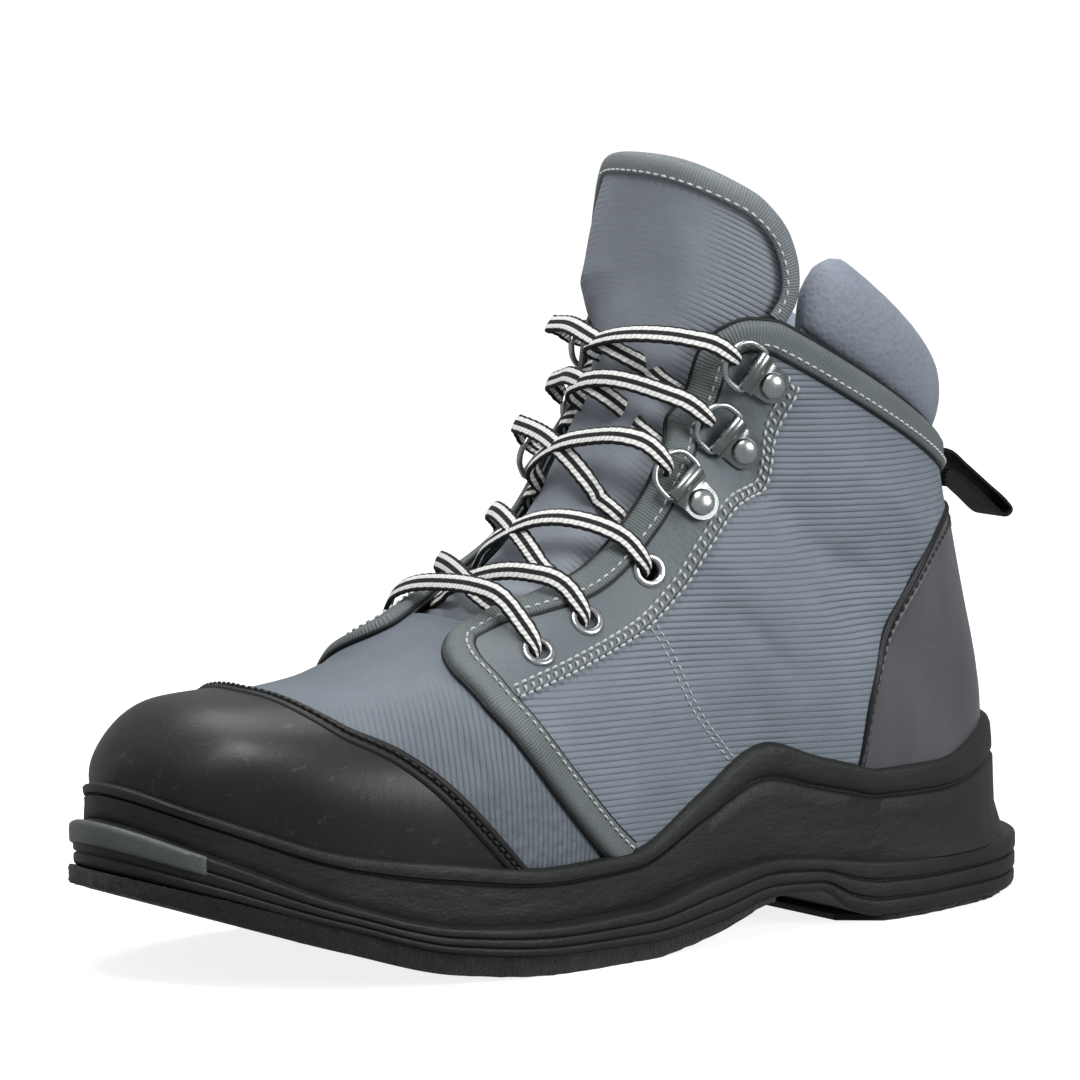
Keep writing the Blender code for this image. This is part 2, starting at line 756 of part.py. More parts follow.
def build_binding(skin, base, tape_material):
    """One tape over the quarters' edges, from the outer side of the rand round the collar to the inner side."""
    outer = smooth_path(QUARTER_EDGE, 40)
    places = np.concatenate([outer, (outer * (1, -1))[::-1][1:]])
    spots = np.array([surface(t, [g])[0] for t, g in places])
    draped = [skin.drape(spot) for spot in spots]
    tangents = np.gradient(spots, axis=0)
    rows = []
    for across in (0.0, 1.0):
        row = []
        for (spot, normal), tangent in zip(draped, tangents):
            side = np.cross(tangent, normal)
            side /= np.linalg.norm(side)
            row.append(skin.drape(spot + side * TAPE_WIDTH * across)[0])
        rows.append(row)
    points, faces = grid(rows)
    return slab("edge_binding", points, faces, GAP, TAPE_THICK, tape_material, base)


def build_eyestay(name, side, base, panel_material):
    """The smooth panel that carries the eyelets, between the binding and its seam."""
    rows = []
    for t in (5.62, 5.95, 6.4, 6.9, 7.5, 8.2, 9.0, 9.7, 10.6, 11.6, 12.6, 13.3):
        length = girth_length(t)
        near = throat_girth(t) + (TAPE_WIDTH + 4 * GAP) / length
        far = seam_girth(t)
        rows.append(surface(t, np.linspace(near, far, 4)[:: 1 if side > 0 else -1] * side))
    points, faces = grid(rows)
    return slab(name, points, faces, GAP, PANEL_THICK, panel_material, base)


# The collar pad's section: a station and how far out from the last's surface, as a share of PAD_DEPTH
PAD_DEPTH = 0.0150
# Columns: station, out
PAD_PROFILE = (
    (13.50, -0.240),
    (13.90, -0.240),
    (14.07, -0.227),
    (14.17, 0.000),
    (14.40, 0.160),
    (14.70, 0.133),
    (14.92, -0.107),
    (15.00, -0.467),
    (14.80, -0.867),
    (14.30, -1.000),
    (13.60, -0.833),
    (13.32, -0.500),
)
PAD_FRONT = 0.41  # girth of its front ends


def build_collar_pad(pad_material):
    """The soft roll inside and over the quarters' top edge."""
    girths = np.concatenate([[0.0, 0.016, 0.055], np.linspace(0.12, 1, 9)]) * (1 - PAD_FRONT) + PAD_FRONT
    plump = np.concatenate([[0.30, 0.68, 0.92], np.ones(9)])
    profile = np.array(PAD_PROFILE)
    middle = profile.mean(axis=0)
    half = []
    for girth, size in zip(girths, plump):
        ring = []
        for station, out in middle + (profile - middle) * size:
            t = min(station, float(COLLAR_TOP))
            point = surface(t, [girth])[0]
            along = surface(t, [girth + 0.004])[0] - surface(t, [girth - 0.004])[0]
            if girth > 0.995:
                along = np.array([-1.0, 0.0, 0.0])
            up = surface(min(t + 0.05, COLLAR_TOP), [girth])[0] - surface(t - 0.05, [girth])[0]
            normal = np.cross(along, up)
            ring.append(point + normal / np.linalg.norm(normal) * out * PAD_DEPTH)
        half.append(np.array(ring))
    other = []
    for ring in half[-2::-1]:
        swing = plan_at(ring[:, 1] / -LAST_LENGTH)[0]
        other.append(np.column_stack([2 * swing - ring[:, 0], ring[:, 1:]]))
    points, faces = grid(np.array(half + other), closed=True)
    size = len(profile)
    faces.append(tuple(range(size)))
    faces.append(tuple(len(points) - 1 - k for k in range(size)))
    points, faces, _ = welded(points, faces)
    return add_piece("collar_pad", points, faces, pad_material)


TONGUE_STATIONS = (5.30, 5.9, 6.6, 7.4, 8.3, 9.4, 11.0, 12.6, 13.6, 14.2, 14.6, 14.85, 14.98)
TONGUE_COLUMNS = 11
TONGUE_TAPED = 4  # its last stations carry the tape


# The tongue's half width, as a share of TONGUE_HALF
# Columns: station, share
TONGUE_TAPER = (
    (5.30, 0.50),
    (7.00, 0.64),
    (9.00, 0.76),
    (12.00, 0.84),
    (13.90, 0.90),
    (14.40, 1.00),
)
# Its thickness, as a share of TONGUE_THICK
# Columns: station, share
TONGUE_DEPTH = (
    (5.30, 0.32),
    (6.50, 0.45),
    (9.00, 0.80),
    (12.00, 1.00),
    (14.50, 1.00),
    (15.00, 0.55),
)
TONGUE_ROUND = 14.2  # station from which its top is rounded


def tongue_half(t):
    """The tongue's half width along the cloth: narrow under the vamp, full at the ankle, round at the top."""
    taper = float(np.interp(t, *np.transpose(TONGUE_TAPER)))
    top = max(0.0, (t - TONGUE_ROUND) / (COLLAR_TOP - TONGUE_ROUND))
    return TONGUE_HALF * taper * math.sqrt(1 - (0.80 * top) ** 4)


def tongue_sheet():
    """The tongue's face: points, faces and its thickness at each point."""
    rows, thick = [], []
    for t in TONGUE_STATIONS:
        share = tongue_half(t) / girth_length(t)
        columns = np.linspace(-1, 1, TONGUE_COLUMNS)
        rows.append(surface(t, columns * share))
        full = float(np.interp(t, *np.transpose(TONGUE_DEPTH))) * TONGUE_THICK
        roll = np.sqrt(1 - (0.999 * columns) ** 4)
        thick.append(np.maximum(TONGUE_EDGE, full * roll))
    points, faces = grid(rows)
    return points, faces, np.concatenate(thick)


def build_tongue(tongue_material):
    """The padded tongue, lying under the eyestays."""
    points, faces, thick = tongue_sheet()
    return slab("tongue", points, faces, -TONGUE_SINK - thick, thick, tongue_material)


def build_tongue_binding(tape_material):
    """The tape over the tongue's top edge, in front of and over it."""
    path = []
    for t in TONGUE_STATIONS[-TONGUE_TAPED:]:
        path.append((t, tongue_half(t) / girth_length(t)))
    last, top = path[-1]
    path += [(last, top * share) for share in np.linspace(1, 0, TONGUE_COLUMNS // 2 + 1)[1:-1]]
    path = path + [(last, 0.0)] + [(t, -g) for t, g in reversed(path)]
    spots = np.array([surface(t, [g])[0] for t, g in path])
    tangents = np.gradient(spots, axis=0)
    rows = []
    for spot, tangent, (t, g) in zip(spots, tangents, path):
        along = surface(t, [g + 0.01])[0] - surface(t, [g - 0.01])[0]
        up = surface(min(t + 0.02, COLLAR_TOP), [g])[0] - surface(t - 0.02, [g])[0]
        normal = np.cross(along, up)
        normal /= np.linalg.norm(normal)
        tangent = tangent / np.linalg.norm(tangent)
        out = np.cross(tangent, normal)
        if np.dot(out, spot - surface(13.0, [0.0])[0]) < 0:
            out = -out
        rim = 6 * GAP
        back = 0.55 * TONGUE_THICK + TONGUE_SINK + GAP + 0.0023
        face = TONGUE_SINK - 2 * GAP
        arm = TAPE_WIDTH * 0.8
        section = (
            (-arm, -face), (rim, -face), (rim, -back), (-arm * 0.5, -back), (-arm * 0.5, -back - TAPE_THICK),
            (rim + TAPE_THICK, -back - TAPE_THICK), (rim + TAPE_THICK, -face + TAPE_THICK), (-arm, -face + TAPE_THICK),
        )
        rows.append([spot + out * a + normal * b for a, b in section])
    points, faces = grid(np.array(rows), closed=True)
    faces.append(tuple(range(8)))
    faces.append(tuple(len(points) - 1 - k for k in range(8)))
    return add_piece("tongue_binding", points, faces, tape_material)


LEDGE = 0.0012  # the sole unit stands out at least so far past the rand
FELT_EDGE = 0.84  # the felts' edge, as a share of FLANGE
FELT_ROUND = 0.0008
UNDER_EDGE = 0.80  # the sole unit's edge on the felt, as a share of where it stands out


def build_sole(skin, materials):
    """Insole, rand, sole unit, the two felts and the toe bumper, all following the last's outline."""
    rubber, felt, lining, bumper = materials
    shares = np.array([
        0.0, 0.012, 0.045, 0.10, 0.16, HEEL_FELT_END, 0.240, 0.265, 0.31, FELT_START,
        0.45, FOREFOOT_FLAT[0], 0.59, FOREFOOT_FLAT[1], 0.70, 0.76, 0.82, 0.88, 0.93, 0.97, 0.992, 1.0,
    ])
    outline = Outline(shares)
    span = outline.shares
    step, rand_top, felt_high = sole_at(span, "step"), sole_at(span, "rand"), sole_at(span, "felt")
    floor, feather = sole_at(span, "floor"), feather_at(span)

    def wall(height):
        return np.array([wall_point(skin, outline, k, height[k]) for k in range(len(span))])

    low = np.maximum(step + GAP, feather - 0.5 * WALL)
    heights = [feather + (rand_top - feather) * share for share in (0.12, 0.55, 1.0)]
    inner = [np.maximum(wall(height), 0.0) + GAP for height in heights]
    around, faces = grid([outline.loop(off, height) for off, height in zip(inner, heights)], closed=True)
    ways = np.column_stack([np.tile(outline.normals, (3, 1)), np.zeros(3 * len(span))])
    raised = stand_off(around, faces, ways, np.zeros(len(around)), skin, 1.5 * GAP)
    inner = [off + more for off, more in zip(inner, raised.reshape(3, -1))]
    loops = [outline.loop(GAP, step + GAP), outline.loop(np.maximum(GAP, inner[0] * 0.6), low)]
    loops += [outline.loop(off, height) for off, height in zip(inner, heights)]
    top_wall = inner[-1]
    bottom_wall = np.maximum(inner[0], inner[1])
    for down, thick in RAND_PROFILE:
        height = rand_top + (step + GAP - rand_top) * down
        base = top_wall + (bottom_wall - top_wall) * min(1.0, down * 2)
        loops.append(outline.loop(base + thick * RAND_WALL, height))
    stacked("rand", outline, loops, rubber, hollow=True)

    rand_foot = bottom_wall + RAND_PROFILE[-1][1] * RAND_WALL
    flange = np.maximum(sole_at(span, "out"), rand_foot + LEDGE)
    under = floor + felt_high
    loops = [outline.loop(flange * UNDER_EDGE, under)]
    for down, out in reversed(FLANGE_PROFILE):
        loops.append(outline.loop(flange * out, step + (under - step) * min(down, 0.995)))
    core = feather - 2.5 * GAP
    loops += [outline.loop(-GAP, step), outline.loop(-GAP, core)]
    stacked("sole_unit", outline, loops, rubber)

    for name, part in (("outsole_heel", shares[shares <= HEEL_FELT_END][::-1]),
                       ("outsole_forefoot", shares[shares >= FELT_START])):
        felt_line = Outline(part)
        bottom = sole_at(felt_line.shares, "floor")
        top = bottom + sole_at(felt_line.shares, "felt") - GAP
        edge = FLANGE * FELT_EDGE
        loops = [felt_line.loop(edge - FELT_ROUND, bottom), felt_line.loop(edge, bottom + FELT_ROUND)]
        stacked(name, felt_line, loops + [felt_line.loop(edge, top)], felt)

    inside = -(WALL + 6 * GAP)
    toe_start = INSOLE_CUT + GAP / LAST_LENGTH
    bed = Outline(np.union1d(shares[np.abs(shares - INSOLE_CUT) > 0.02], [INSOLE_CUT, toe_start]))
    for name, part in (("insole", bed.between(0, INSOLE_CUT)), ("insole_toe", bed.between(toe_start, 1))):
        under_foot = feather_at(part.shares)
        loops = [part.loop(inside, height) for height in (under_foot, under_foot + INSOLE_THICK)]
        stacked(name, part, loops, lining)
    build_toe_bumper(outline, flange, step, under, bumper)


BUMPER_END = 0.90  # share of the last's length at which the toe bumper ends
BUMPER_SPAN = (0.08, 0.30)  # its upper and lower edge, as shares of the sole unit's side
BUMPER_THICK = 0.0013
BUMPER_BEVEL = 0.0004


def build_toe_bumper(outline, flange, step, under, bumper_material):
    """The strip set on the sole unit round the toe."""
    keep = [k for k in range(len(outline.shares)) if outline.shares[k] >= BUMPER_END]
    rows = []
    for k in keep:
        normal = np.array([*outline.normals[k], 0.0])
        depth = under[k] - step[k]
        high, low = (step[k] + depth * share for share in BUMPER_SPAN)
        foot = np.array([*outline.points[k], 0.0]) + normal * (flange[k] + GAP)
        thick = BUMPER_THICK if k not in (keep[0], keep[-1]) else BUMPER_THICK / 2
        rows.append([
            foot + (0, 0, high), foot + (0, 0, low), foot + normal * thick + (0, 0, low + BUMPER_BEVEL),
            foot + normal * thick + (0, 0, high - BUMPER_BEVEL),
        ])
    points, faces = grid(np.array(rows), closed=True)
    faces.append(tuple(range(4)))
    faces.append(tuple(len(points) - 1 - k for k in range(4)))
    add_piece("toe_bumper", points, faces, bumper_material)


def cut_holes(skin, pieces):
    """Cuts the eyelets' holes through the upper and the eyestays."""
    for side, label in ((1, "outer"), (-1, "inner")):
        for number, (t, g) in enumerate(EYELETS, 1):
            point, normal, _ = frame_at(skin, t, g * side)
            radius = BARREL / 2 + GAP
            profile = ((0.0, -0.006), (radius, -0.006), (radius, 0.004), (0.0, 0.004))
            cutter = turned(f"cutter_{label}_{number}", point, normal, profile, 12, None)
            cutter.hide_render = True
            cutter.display_type = "WIRE"
            for piece in (pieces["upper"], pieces[label]):
                cut = piece.modifiers.new(f"hole_{number}_{label}", "BOOLEAN")
                cut.operation = "DIFFERENCE"
                cut.solver = "EXACT"
                cut.object = cutter


EYELET_RISE = 0.0009  # the flange's height
EYELET_ROUND = 0.0005


def build_hardware(skin, metal):
    """Eyelets, ring clips, rings and rivets. Returns where the laces pass, low to high, for each side."""
    passes = {1: [], -1: []}
    barrel, hole, flange = BARREL / 2, EYELET_HOLE / 2, EYELET_FLANGE / 2
    circle = [(flange * math.cos(turn), flange * math.sin(turn)) for turn in np.linspace(0, 2 * math.pi, 17)]
    plate = [(a, b) for a in np.linspace(-0.007, 0.011, 9) for b in np.linspace(-CLIP_WIDTH / 2, CLIP_WIDTH / 2, 5)]
    for side, label in ((1, "outer"), (-1, "inner")):
        stay = FACES[f"eyestay_{label}"]
        for number, (t, g) in enumerate(EYELETS, 1):
            point, normal, towards = frame_at(skin, t, g * side)
            under = seat_height(stay, point, normal, towards, circle) + GAP
            foot, rim = -WALL * 0.8, under + EYELET_RISE
            profile = (
                (hole, foot), (hole, rim - EYELET_ROUND), (hole + EYELET_ROUND, rim), (flange - EYELET_ROUND, rim),
                (flange, under), (barrel, under), (barrel, foot),
            )
            turned(f"eyelet_{label}_{number}", point, normal, profile, 10, metal)
            passes[side].append((point, normal, towards, 0.0, under))
        for number, (t, g) in enumerate(RING_MOUNTS, 1):
            point, normal, towards = frame_at(skin, t, g * side)
            under = max(seat_height(faces, point, normal, towards, plate) for faces in (stay, FACES["edge_binding"]))
            under += GAP
            build_ring(f"{label}_{number}", point + normal * under, normal, towards, np.cross(normal, towards), metal)
            passes[side].append((point, normal, towards, BAR_REACH + RING_REACH * 0.55, under + BAR_HEIGHT))
    return passes


# The clip's flat end: how far along it from the rivet, as a share of CLIP_WIDTH, and its width there
# Columns: along, width
CLIP_TAIL = (
    (-0.585, 0.35),
    (-0.528, 0.66),
    (-0.377, 0.92),
    (-0.094, 1.00),
    (0.283, 1.00),
)
RIVET_RISE = 0.0020  # its dome


def build_ring(label, point, normal, towards, across, metal):
    """A riveted clip that holds a D-shaped ring by its straight bar."""
    half = CLIP_WIDTH / 2
    turn_radius = BAR_HEIGHT - CLIP_THICK / 2
    centres = [(along * CLIP_WIDTH, CLIP_THICK / 2, wide) for along, wide in CLIP_TAIL]
    for turn in np.linspace(-90, 160, 7):
        angle = math.radians(turn)
        centres.append((BAR_REACH + turn_radius * math.cos(angle), BAR_HEIGHT + turn_radius * math.sin(angle), 1.0))
    centres = np.array(centres)
    along = np.gradient(centres[:, :2], axis=0)
    along /= np.linalg.norm(along, axis=1, keepdims=True)
    spots = [point + towards * d + normal * h for d, h, _ in centres]
    sides = [across] * len(centres)
    ups = [normal * a - towards * b for a, b in along]
    profiles = []
    for _, _, wide in centres:
        w, h = half * wide, CLIP_THICK / 2
        profiles.append([(-w, -h), (w, -h), (w, h), (-w, h)])
    tube(f"clip_{label}", spots, sides, ups, profiles, metal)

    bar = point + towards * BAR_REACH + normal * BAR_HEIGHT
    reach, wide = RING_REACH, RING_WIDTH / 2
    path = [(0.0, -wide * 0.86), (0.0, wide * 0.86), (reach * 0.10, wide * 0.98), (reach * 0.34, wide)]
    for turn in np.linspace(90, -90, 6)[1:-1]:
        angle = math.radians(turn)
        path.append((reach * 0.42 + reach * 0.58 * math.cos(angle), wide * math.sin(angle)))
    path += [(reach * 0.34, -wide), (reach * 0.10, -wide * 0.98)]
    path = np.array(path)
    ring = 2 * math.pi * np.arange(6) / 6
    spots = [bar + towards * d + across * w for d, w in path]
    ahead = np.roll(path, -1, axis=0) - np.roll(path, 1, axis=0)
    ahead /= np.linalg.norm(ahead, axis=1, keepdims=True)
    sides = [towards * -b + across * a for a, b in ahead]
    profile = [(WIRE / 2 * math.cos(a), WIRE / 2 * math.sin(a)) for a in ring]
    tube(f"ring_{label}", spots, sides, [normal] * len(spots), profile, metal, closed=True)

    top = CLIP_THICK + GAP
    radius = RIVET / 2
    dome = [(0.0, 0.0), (0.94, 0.0), (1.0, 0.20), (0.62, 0.75), (0.0, 1.0)]
    dome = [(radius * out, top + RIVET_RISE * up) for out, up in dome]
    turned(f"rivet_{label}", point, normal, dome, 9, metal)


# A strand's last places before its eyelet or ring: how far off towards the ridge as a share of LACE_WIDTH, how
# high over the rim as a share of LACE_LIFT, and its width as a share of LACE_WIDTH
LACE_LIFT = 0.0037
# Columns: off, high, width
LACE_DIVE = (
    (1.90, 1.25, 1.00),
    (1.03, 1.00, 1.00),
    (0.38, 0.92, 0.75),
    (0.07, 0.45, 0.62),
    (0.00, -0.22, 0.60),
)
OVER_TAPE = 0.0044  # a strand's height over the last where it crosses the binding
END_RISE = 0.3  # how much higher it is before it dives, as a share of OVER_TAPE
START_WIDTH = 0.9  # its width where it comes up, as a share of LACE_WIDTH
STRAND_PLACES = 4


def lace_end(seat):
    """A lace's last places at an eyelet or a ring, and how wide it is at each."""
    point, normal, towards, reach, rim = seat
    places = [point + towards * (reach + off * LACE_WIDTH) + normal * (rim + high * LACE_LIFT)
              for off, high, _ in LACE_DIVE]
    return places, [wide for _, _, wide in LACE_DIVE]


def lace_strand(name, skin, start, finish, least, hump, lace_material):
    """One strand: from its start, over the tongue and into the eyelet or ring on the other side."""
    end, end_widths = lace_end(finish)
    first, last = start[-1], end[0]
    middle = []
    for share in np.linspace(0, 1, STRAND_PLACES + 2)[1:-1]:
        spot = first + (last - first) * share
        place, normal = skin.drape(spot)
        height = max(float(np.dot(spot - place, normal)), least + OVER_TAPE * share ** 2)
        height += hump * math.sin(math.pi * share) + END_RISE * OVER_TAPE * share
        middle.append(place + normal * height)
    places = np.array(list(start) + middle + end)
    widths = [START_WIDTH] * len(start) + [1.0] * STRAND_PLACES + end_widths
    ahead = np.gradient(places, axis=0)
    ahead /= np.linalg.norm(ahead, axis=1, keepdims=True)
    throat_way = surface(13.0, [0.0])[0] - surface(6.0, [0.0])[0]
    throat_way /= np.linalg.norm(throat_way)
    sides, ups, profiles = [], [], []
    for tangent, wide in zip(ahead, widths):
        side = throat_way - tangent * np.dot(throat_way, tangent)
        side /= np.linalg.norm(side)
        sides.append(side)
        ups.append(np.cross(tangent, side))
        w, h = LACE_WIDTH / 2 * wide, LACE_THICK / 2
        profiles.append([(-w, 0.0), (-w * 0.7, -h), (w * 0.7, -h), (w, 0.0), (w * 0.7, h), (-w * 0.7, h)])
    return tube(name, places, sides, ups, profiles, lace_material)


FLAP_START = ((0.0056, -0.0013), (0.0106, 0.0002))  # a strand's first places: in from the throat's edge, and up


def flap_start(skin, t, side):
    """Two places just inside the throat's edge, where a strand comes up from under a flap."""
    places = []
    for inwards, up in FLAP_START:
        spot = surface(t, [(throat_girth(t) - inwards / girth_length(t)) * side])[0]
        places.append(spot + skin.drape(spot)[1] * up)
    return places


CROSSINGS = ((6.35, 1), (7.25, 2), (8.75, 3), (10.6, 4), (12.45, 5))  # a strand's start and the pass it ends in
BAR_LEAST = 0.0038  # the bar's least height over the last
OVER_LEAST, OVER_HUMP = -0.0005, 0.0011  # the same for a crossing's upper strand, and its rise over the lower one
UNDER_LEAST = -0.0018


def build_laces(skin, passes, lace_material):
    """A bar over the vamp's edge and five crossings, each of them one piece."""
    start = lace_end(passes[-1][0])[0][::-1]
    lace_strand("lace_bar", skin, start, passes[1][0], BAR_LEAST, 0.0, lace_material)
    for number, (t, end) in enumerate(CROSSINGS, 1):
        over = lace_strand(
            f"lace_cross_{number}", skin, flap_start(skin, t, -1), passes[1][end], OVER_LEAST, OVER_HUMP, lace_material,
        )
        under = lace_strand(
            f"strand_{number}", skin, flap_start(skin, t, 1), passes[-1][end], UNDER_LEAST, 0.0, lace_material,
        )
        under.hide_render = True
        under.display_type = "WIRE"
        join = over.modifiers.new("crossing", "BOOLEAN")
        join.operation = "UNION"
        join.solver = "EXACT"
        join.object = under


# The pull loop's middle line, out from the heel and up from its root, as shares of LOOP_REACH
LOOP_PATH = (
    (0.045, -0.130),
    (0.020, 0.000),
    (0.060, 0.100),
    (0.190, 0.090),
    (0.400, -0.060),
    (0.680, -0.270),
    (0.930, -0.460),
    (1.000, -0.550),
    (0.930, -0.600),
    (0.660, -0.410),
    (0.380, -0.200),
    (0.210, -0.110),
    (0.150, -0.150),
    (0.140, -0.260),
)


def build_pull_loop(webbing_material):
    """A folded tape that stands back and down from the heel's top edge."""
    root = surface(13.92, [1.0])[0] + np.array((0.0, TAPE_THICK + 2 * GAP + WEBBING / 2, 0.0))
    path = np.array(LOOP_PATH) * LOOP_REACH
    ahead = np.gradient(path, axis=0)
    ahead /= np.linalg.norm(ahead, axis=1, keepdims=True)
    spots = [root + np.array((0.0, d, h)) for d, h in path]
    ups = [np.array((0.0, -b, a)) for a, b in ahead]
    w, h = LOOP_WIDTH / 2, WEBBING / 2
    profile = [(-w, -h), (w, -h), (w, h), (-w, h)]
    return tube("pull_loop", spots, [np.array((1.0, 0.0, 0.0))] * len(spots), ups, profile, webbing_material)


def centre_on_floor():
    """Moves the whole boot so that its origin is on the floor under the middle of its box."""
    bpy.context.view_layer.update()
    corners = []
    for piece in bpy.context.scene.objects:
        if piece.type == "MESH" and not piece.hide_render:
            spots = np.empty(len(piece.data.vertices) * 3)
            piece.data.vertices.foreach_get("co", spots)
            corners.append(spots.reshape(-1, 3))
    corners = np.concatenate(corners)
    middle = (corners.min(axis=0) + corners.max(axis=0)) / 2
    BOOT.location = (-middle[0], -middle[1], -corners[:, 2].min())


for old in list(bpy.data.objects):
    bpy.data.objects.remove(old, do_unlink=True)

BOOT = bpy.data.objects.new("boot", None)
bpy.context.scene.collection.objects.link(BOOT)

CLOTH = material("quarter_cloth", (0.18, 0.21, 0.25), 0.75)
SMOOTH = material("eyestay_panel", (0.17, 0.20, 0.21), 0.55)
TAPE = material("binding_tape", (0.20, 0.22, 0.22), 0.8)
PAD = material("collar_cloth", (0.25, 0.28, 0.32), 0.7)
TONGUE_CLOTH = material("tongue_cloth", (0.20, 0.23, 0.27), 0.7)
CAP = material("toe_cap_coating", (0.035, 0.037, 0.042), 0.35)
COUNTER = material("counter_coating", (0.09, 0.09, 0.10), 0.4)
RUBBER = material("sole_rubber", (0.025, 0.027, 0.027), 0.6)
BUMPER = material("bumper_rubber", (0.06, 0.062, 0.062), 0.5)
FELT = material("sole_felt", (0.05, 0.05, 0.05), 1.0)
LINING = material("insole_foam", (0.08, 0.08, 0.085), 0.9)
METAL = material("ring_metal", (0.55, 0.57, 0.56), 0.3, 1.0)
LACE = material("lace_cord", (0.35, 0.35, 0.35), 0.8)
WEB = material("loop_webbing", (0.01, 0.01, 0.011), 0.85)

SKIN = Skin(*fine_skin())
UPPER, BASE = build_upper(CLOTH)
STAYS = {
    "upper": UPPER,
    "outer": build_eyestay("eyestay_outer", 1, BASE, SMOOTH),
    "inner": build_eyestay("eyestay_inner", -1, BASE, SMOOTH),
}
build_toe_cap(BASE, CAP)
build_heel_counter(BASE, COUNTER)
build_binding(SKIN, BASE, TAPE)
build_collar_pad(PAD)
build_tongue(TONGUE_CLOTH)
build_tongue_binding(TAPE)
build_sole(BASE, (RUBBER, FELT, LINING, BUMPER))
cut_holes(SKIN, STAYS)
PASSES = build_hardware(SKIN, METAL)
build_laces(SKIN, PASSES, LACE)
build_pull_loop(WEB)
centre_on_floor()
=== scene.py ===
"""The wading boot dressed for a picture: every piece of the frame gets its finished form and material."""
import math

import bmesh
import bpy
import numpy as np
from mathutils import Matrix, Vector
from mathutils.bvhtree import BVHTree


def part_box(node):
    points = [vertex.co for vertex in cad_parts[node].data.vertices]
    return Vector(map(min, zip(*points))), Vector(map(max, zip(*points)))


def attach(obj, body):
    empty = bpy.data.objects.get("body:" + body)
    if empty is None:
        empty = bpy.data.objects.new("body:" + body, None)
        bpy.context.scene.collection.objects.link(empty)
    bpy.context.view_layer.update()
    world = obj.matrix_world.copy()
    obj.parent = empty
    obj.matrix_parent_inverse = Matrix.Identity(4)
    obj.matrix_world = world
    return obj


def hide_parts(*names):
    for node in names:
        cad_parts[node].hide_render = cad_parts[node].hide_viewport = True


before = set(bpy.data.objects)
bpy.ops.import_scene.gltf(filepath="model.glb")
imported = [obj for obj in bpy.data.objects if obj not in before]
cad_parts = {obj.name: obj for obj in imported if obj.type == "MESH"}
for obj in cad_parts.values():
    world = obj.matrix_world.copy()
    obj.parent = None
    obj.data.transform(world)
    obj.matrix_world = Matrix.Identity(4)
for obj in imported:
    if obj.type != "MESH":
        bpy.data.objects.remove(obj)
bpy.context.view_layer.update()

# Driving sizes of the last and the boot
LAST_LENGTH = 0.299  # heel back to toe tip of the last
BALL_WIDTH = 0.101  # across the last's joint
SOLE_STACK = 0.0262  # floor to the foot's bed at the heel
COLLAR_HEIGHT = 0.150  # foot's bed to the front corner of the quarters
WALL = 0.0022  # upper's cloth and lining

# The last's bottom in plan: how far forward, how far the middle swings to the outer side, and half the width.
# Forward is a share of LAST_LENGTH, the rest are shares of BALL_WIDTH.
# Columns: fore, swing, half
PLAN = (
    (0.000, 0.000, 0.000),
    (0.055, 0.000, 0.240),
    (0.100, 0.000, 0.290),
    (0.195, 0.005, 0.342),
    (0.337, 0.018, 0.349),
    (0.450, 0.022, 0.393),
    (0.573, 0.016, 0.449),
    (0.678, 0.008, 0.480),
    (0.754, -0.008, 0.468),
    (0.858, -0.034, 0.415),
    (0.944, -0.060, 0.294),
    (1.000, -0.067, 0.000),
)

# Sections of the upper, from the toe tip, over the instep and round the heel, up to the tongue's tip.
# Each lies in the plane through its ridge (front) and base (sole or back) points. Forward places are shares
# of LAST_LENGTH and rises are shares of COLLAR_HEIGHT above the foot's bed. Swell widens the last's own
# bottom, puff is the shaft's half width as a share of BALL_WIDTH, widest is where the section is widest as a
# share of its height, and round is the exponent of its upper curve.
SECTION_COLUMNS = (
    "ridge_fore", "ridge_rise", "base_fore", "base_rise", "swell", "puff", "widest", "round",
)
SECTIONS = (
    (1.000, 0.213, 1.000, 0.129, 1.00, 0.000, 0.40, 2.2),  # toe tip
    (0.988, 0.252, 0.971, 0.103, 1.03, 0.000, 0.39, 2.3),  # toe front
    (0.929, 0.335, 0.912, 0.058, 1.03, 0.000, 0.38, 2.4),  # toe box
    (0.847, 0.345, 0.838, 0.010, 1.05, 0.000, 0.36, 2.4),  # end of the toe cap
    (0.760, 0.368, 0.753, -0.028, 1.06, 0.000, 0.34, 2.4),  # ball
    (0.697, 0.419, 0.662, -0.039, 1.06, 0.000, 0.32, 2.5),  # vamp
    (0.633, 0.484, 0.562, -0.023, 1.06, 0.030, 0.32, 2.6),  # throat
    (0.571, 0.561, 0.448, 0.009, 1.05, 0.100, 0.32, 2.6),  # waist
    (0.523, 0.671, 0.312, 0.019, 1.03, 0.160, 0.34, 2.5),  # instep
    (0.490, 0.774, 0.182, 0.003, 1.02, 0.240, 0.40, 2.4),  # ankle bend
    (0.468, 0.858, 0.065, 0.000, 1.00, 0.330, 0.46, 2.4),  # heel
    (0.460, 0.900, 0.000, 0.010, 1.00, 0.360, 0.47, 2.4),  # heel seat
    (0.453, 0.942, -0.010, 0.148, 1.00, 0.380, 0.50, 2.4),  # back of the heel
    (0.443, 1.026, 0.024, 0.406, 1.00, 0.385, 0.52, 2.4),  # above the counter
    (0.437, 1.103, 0.058, 0.710, 1.00, 0.385, 0.54, 2.5),  # quarters' top edge
    (0.432, 1.323, 0.070, 0.910, 1.00, 0.420, 0.54, 2.5),  # collar and tongue top
)
HEEL_SEAT, COLLAR_TOP = 11, 15  # rows of SECTIONS
VAMP_EDGE = 5.75  # where the vamp ends under the laces

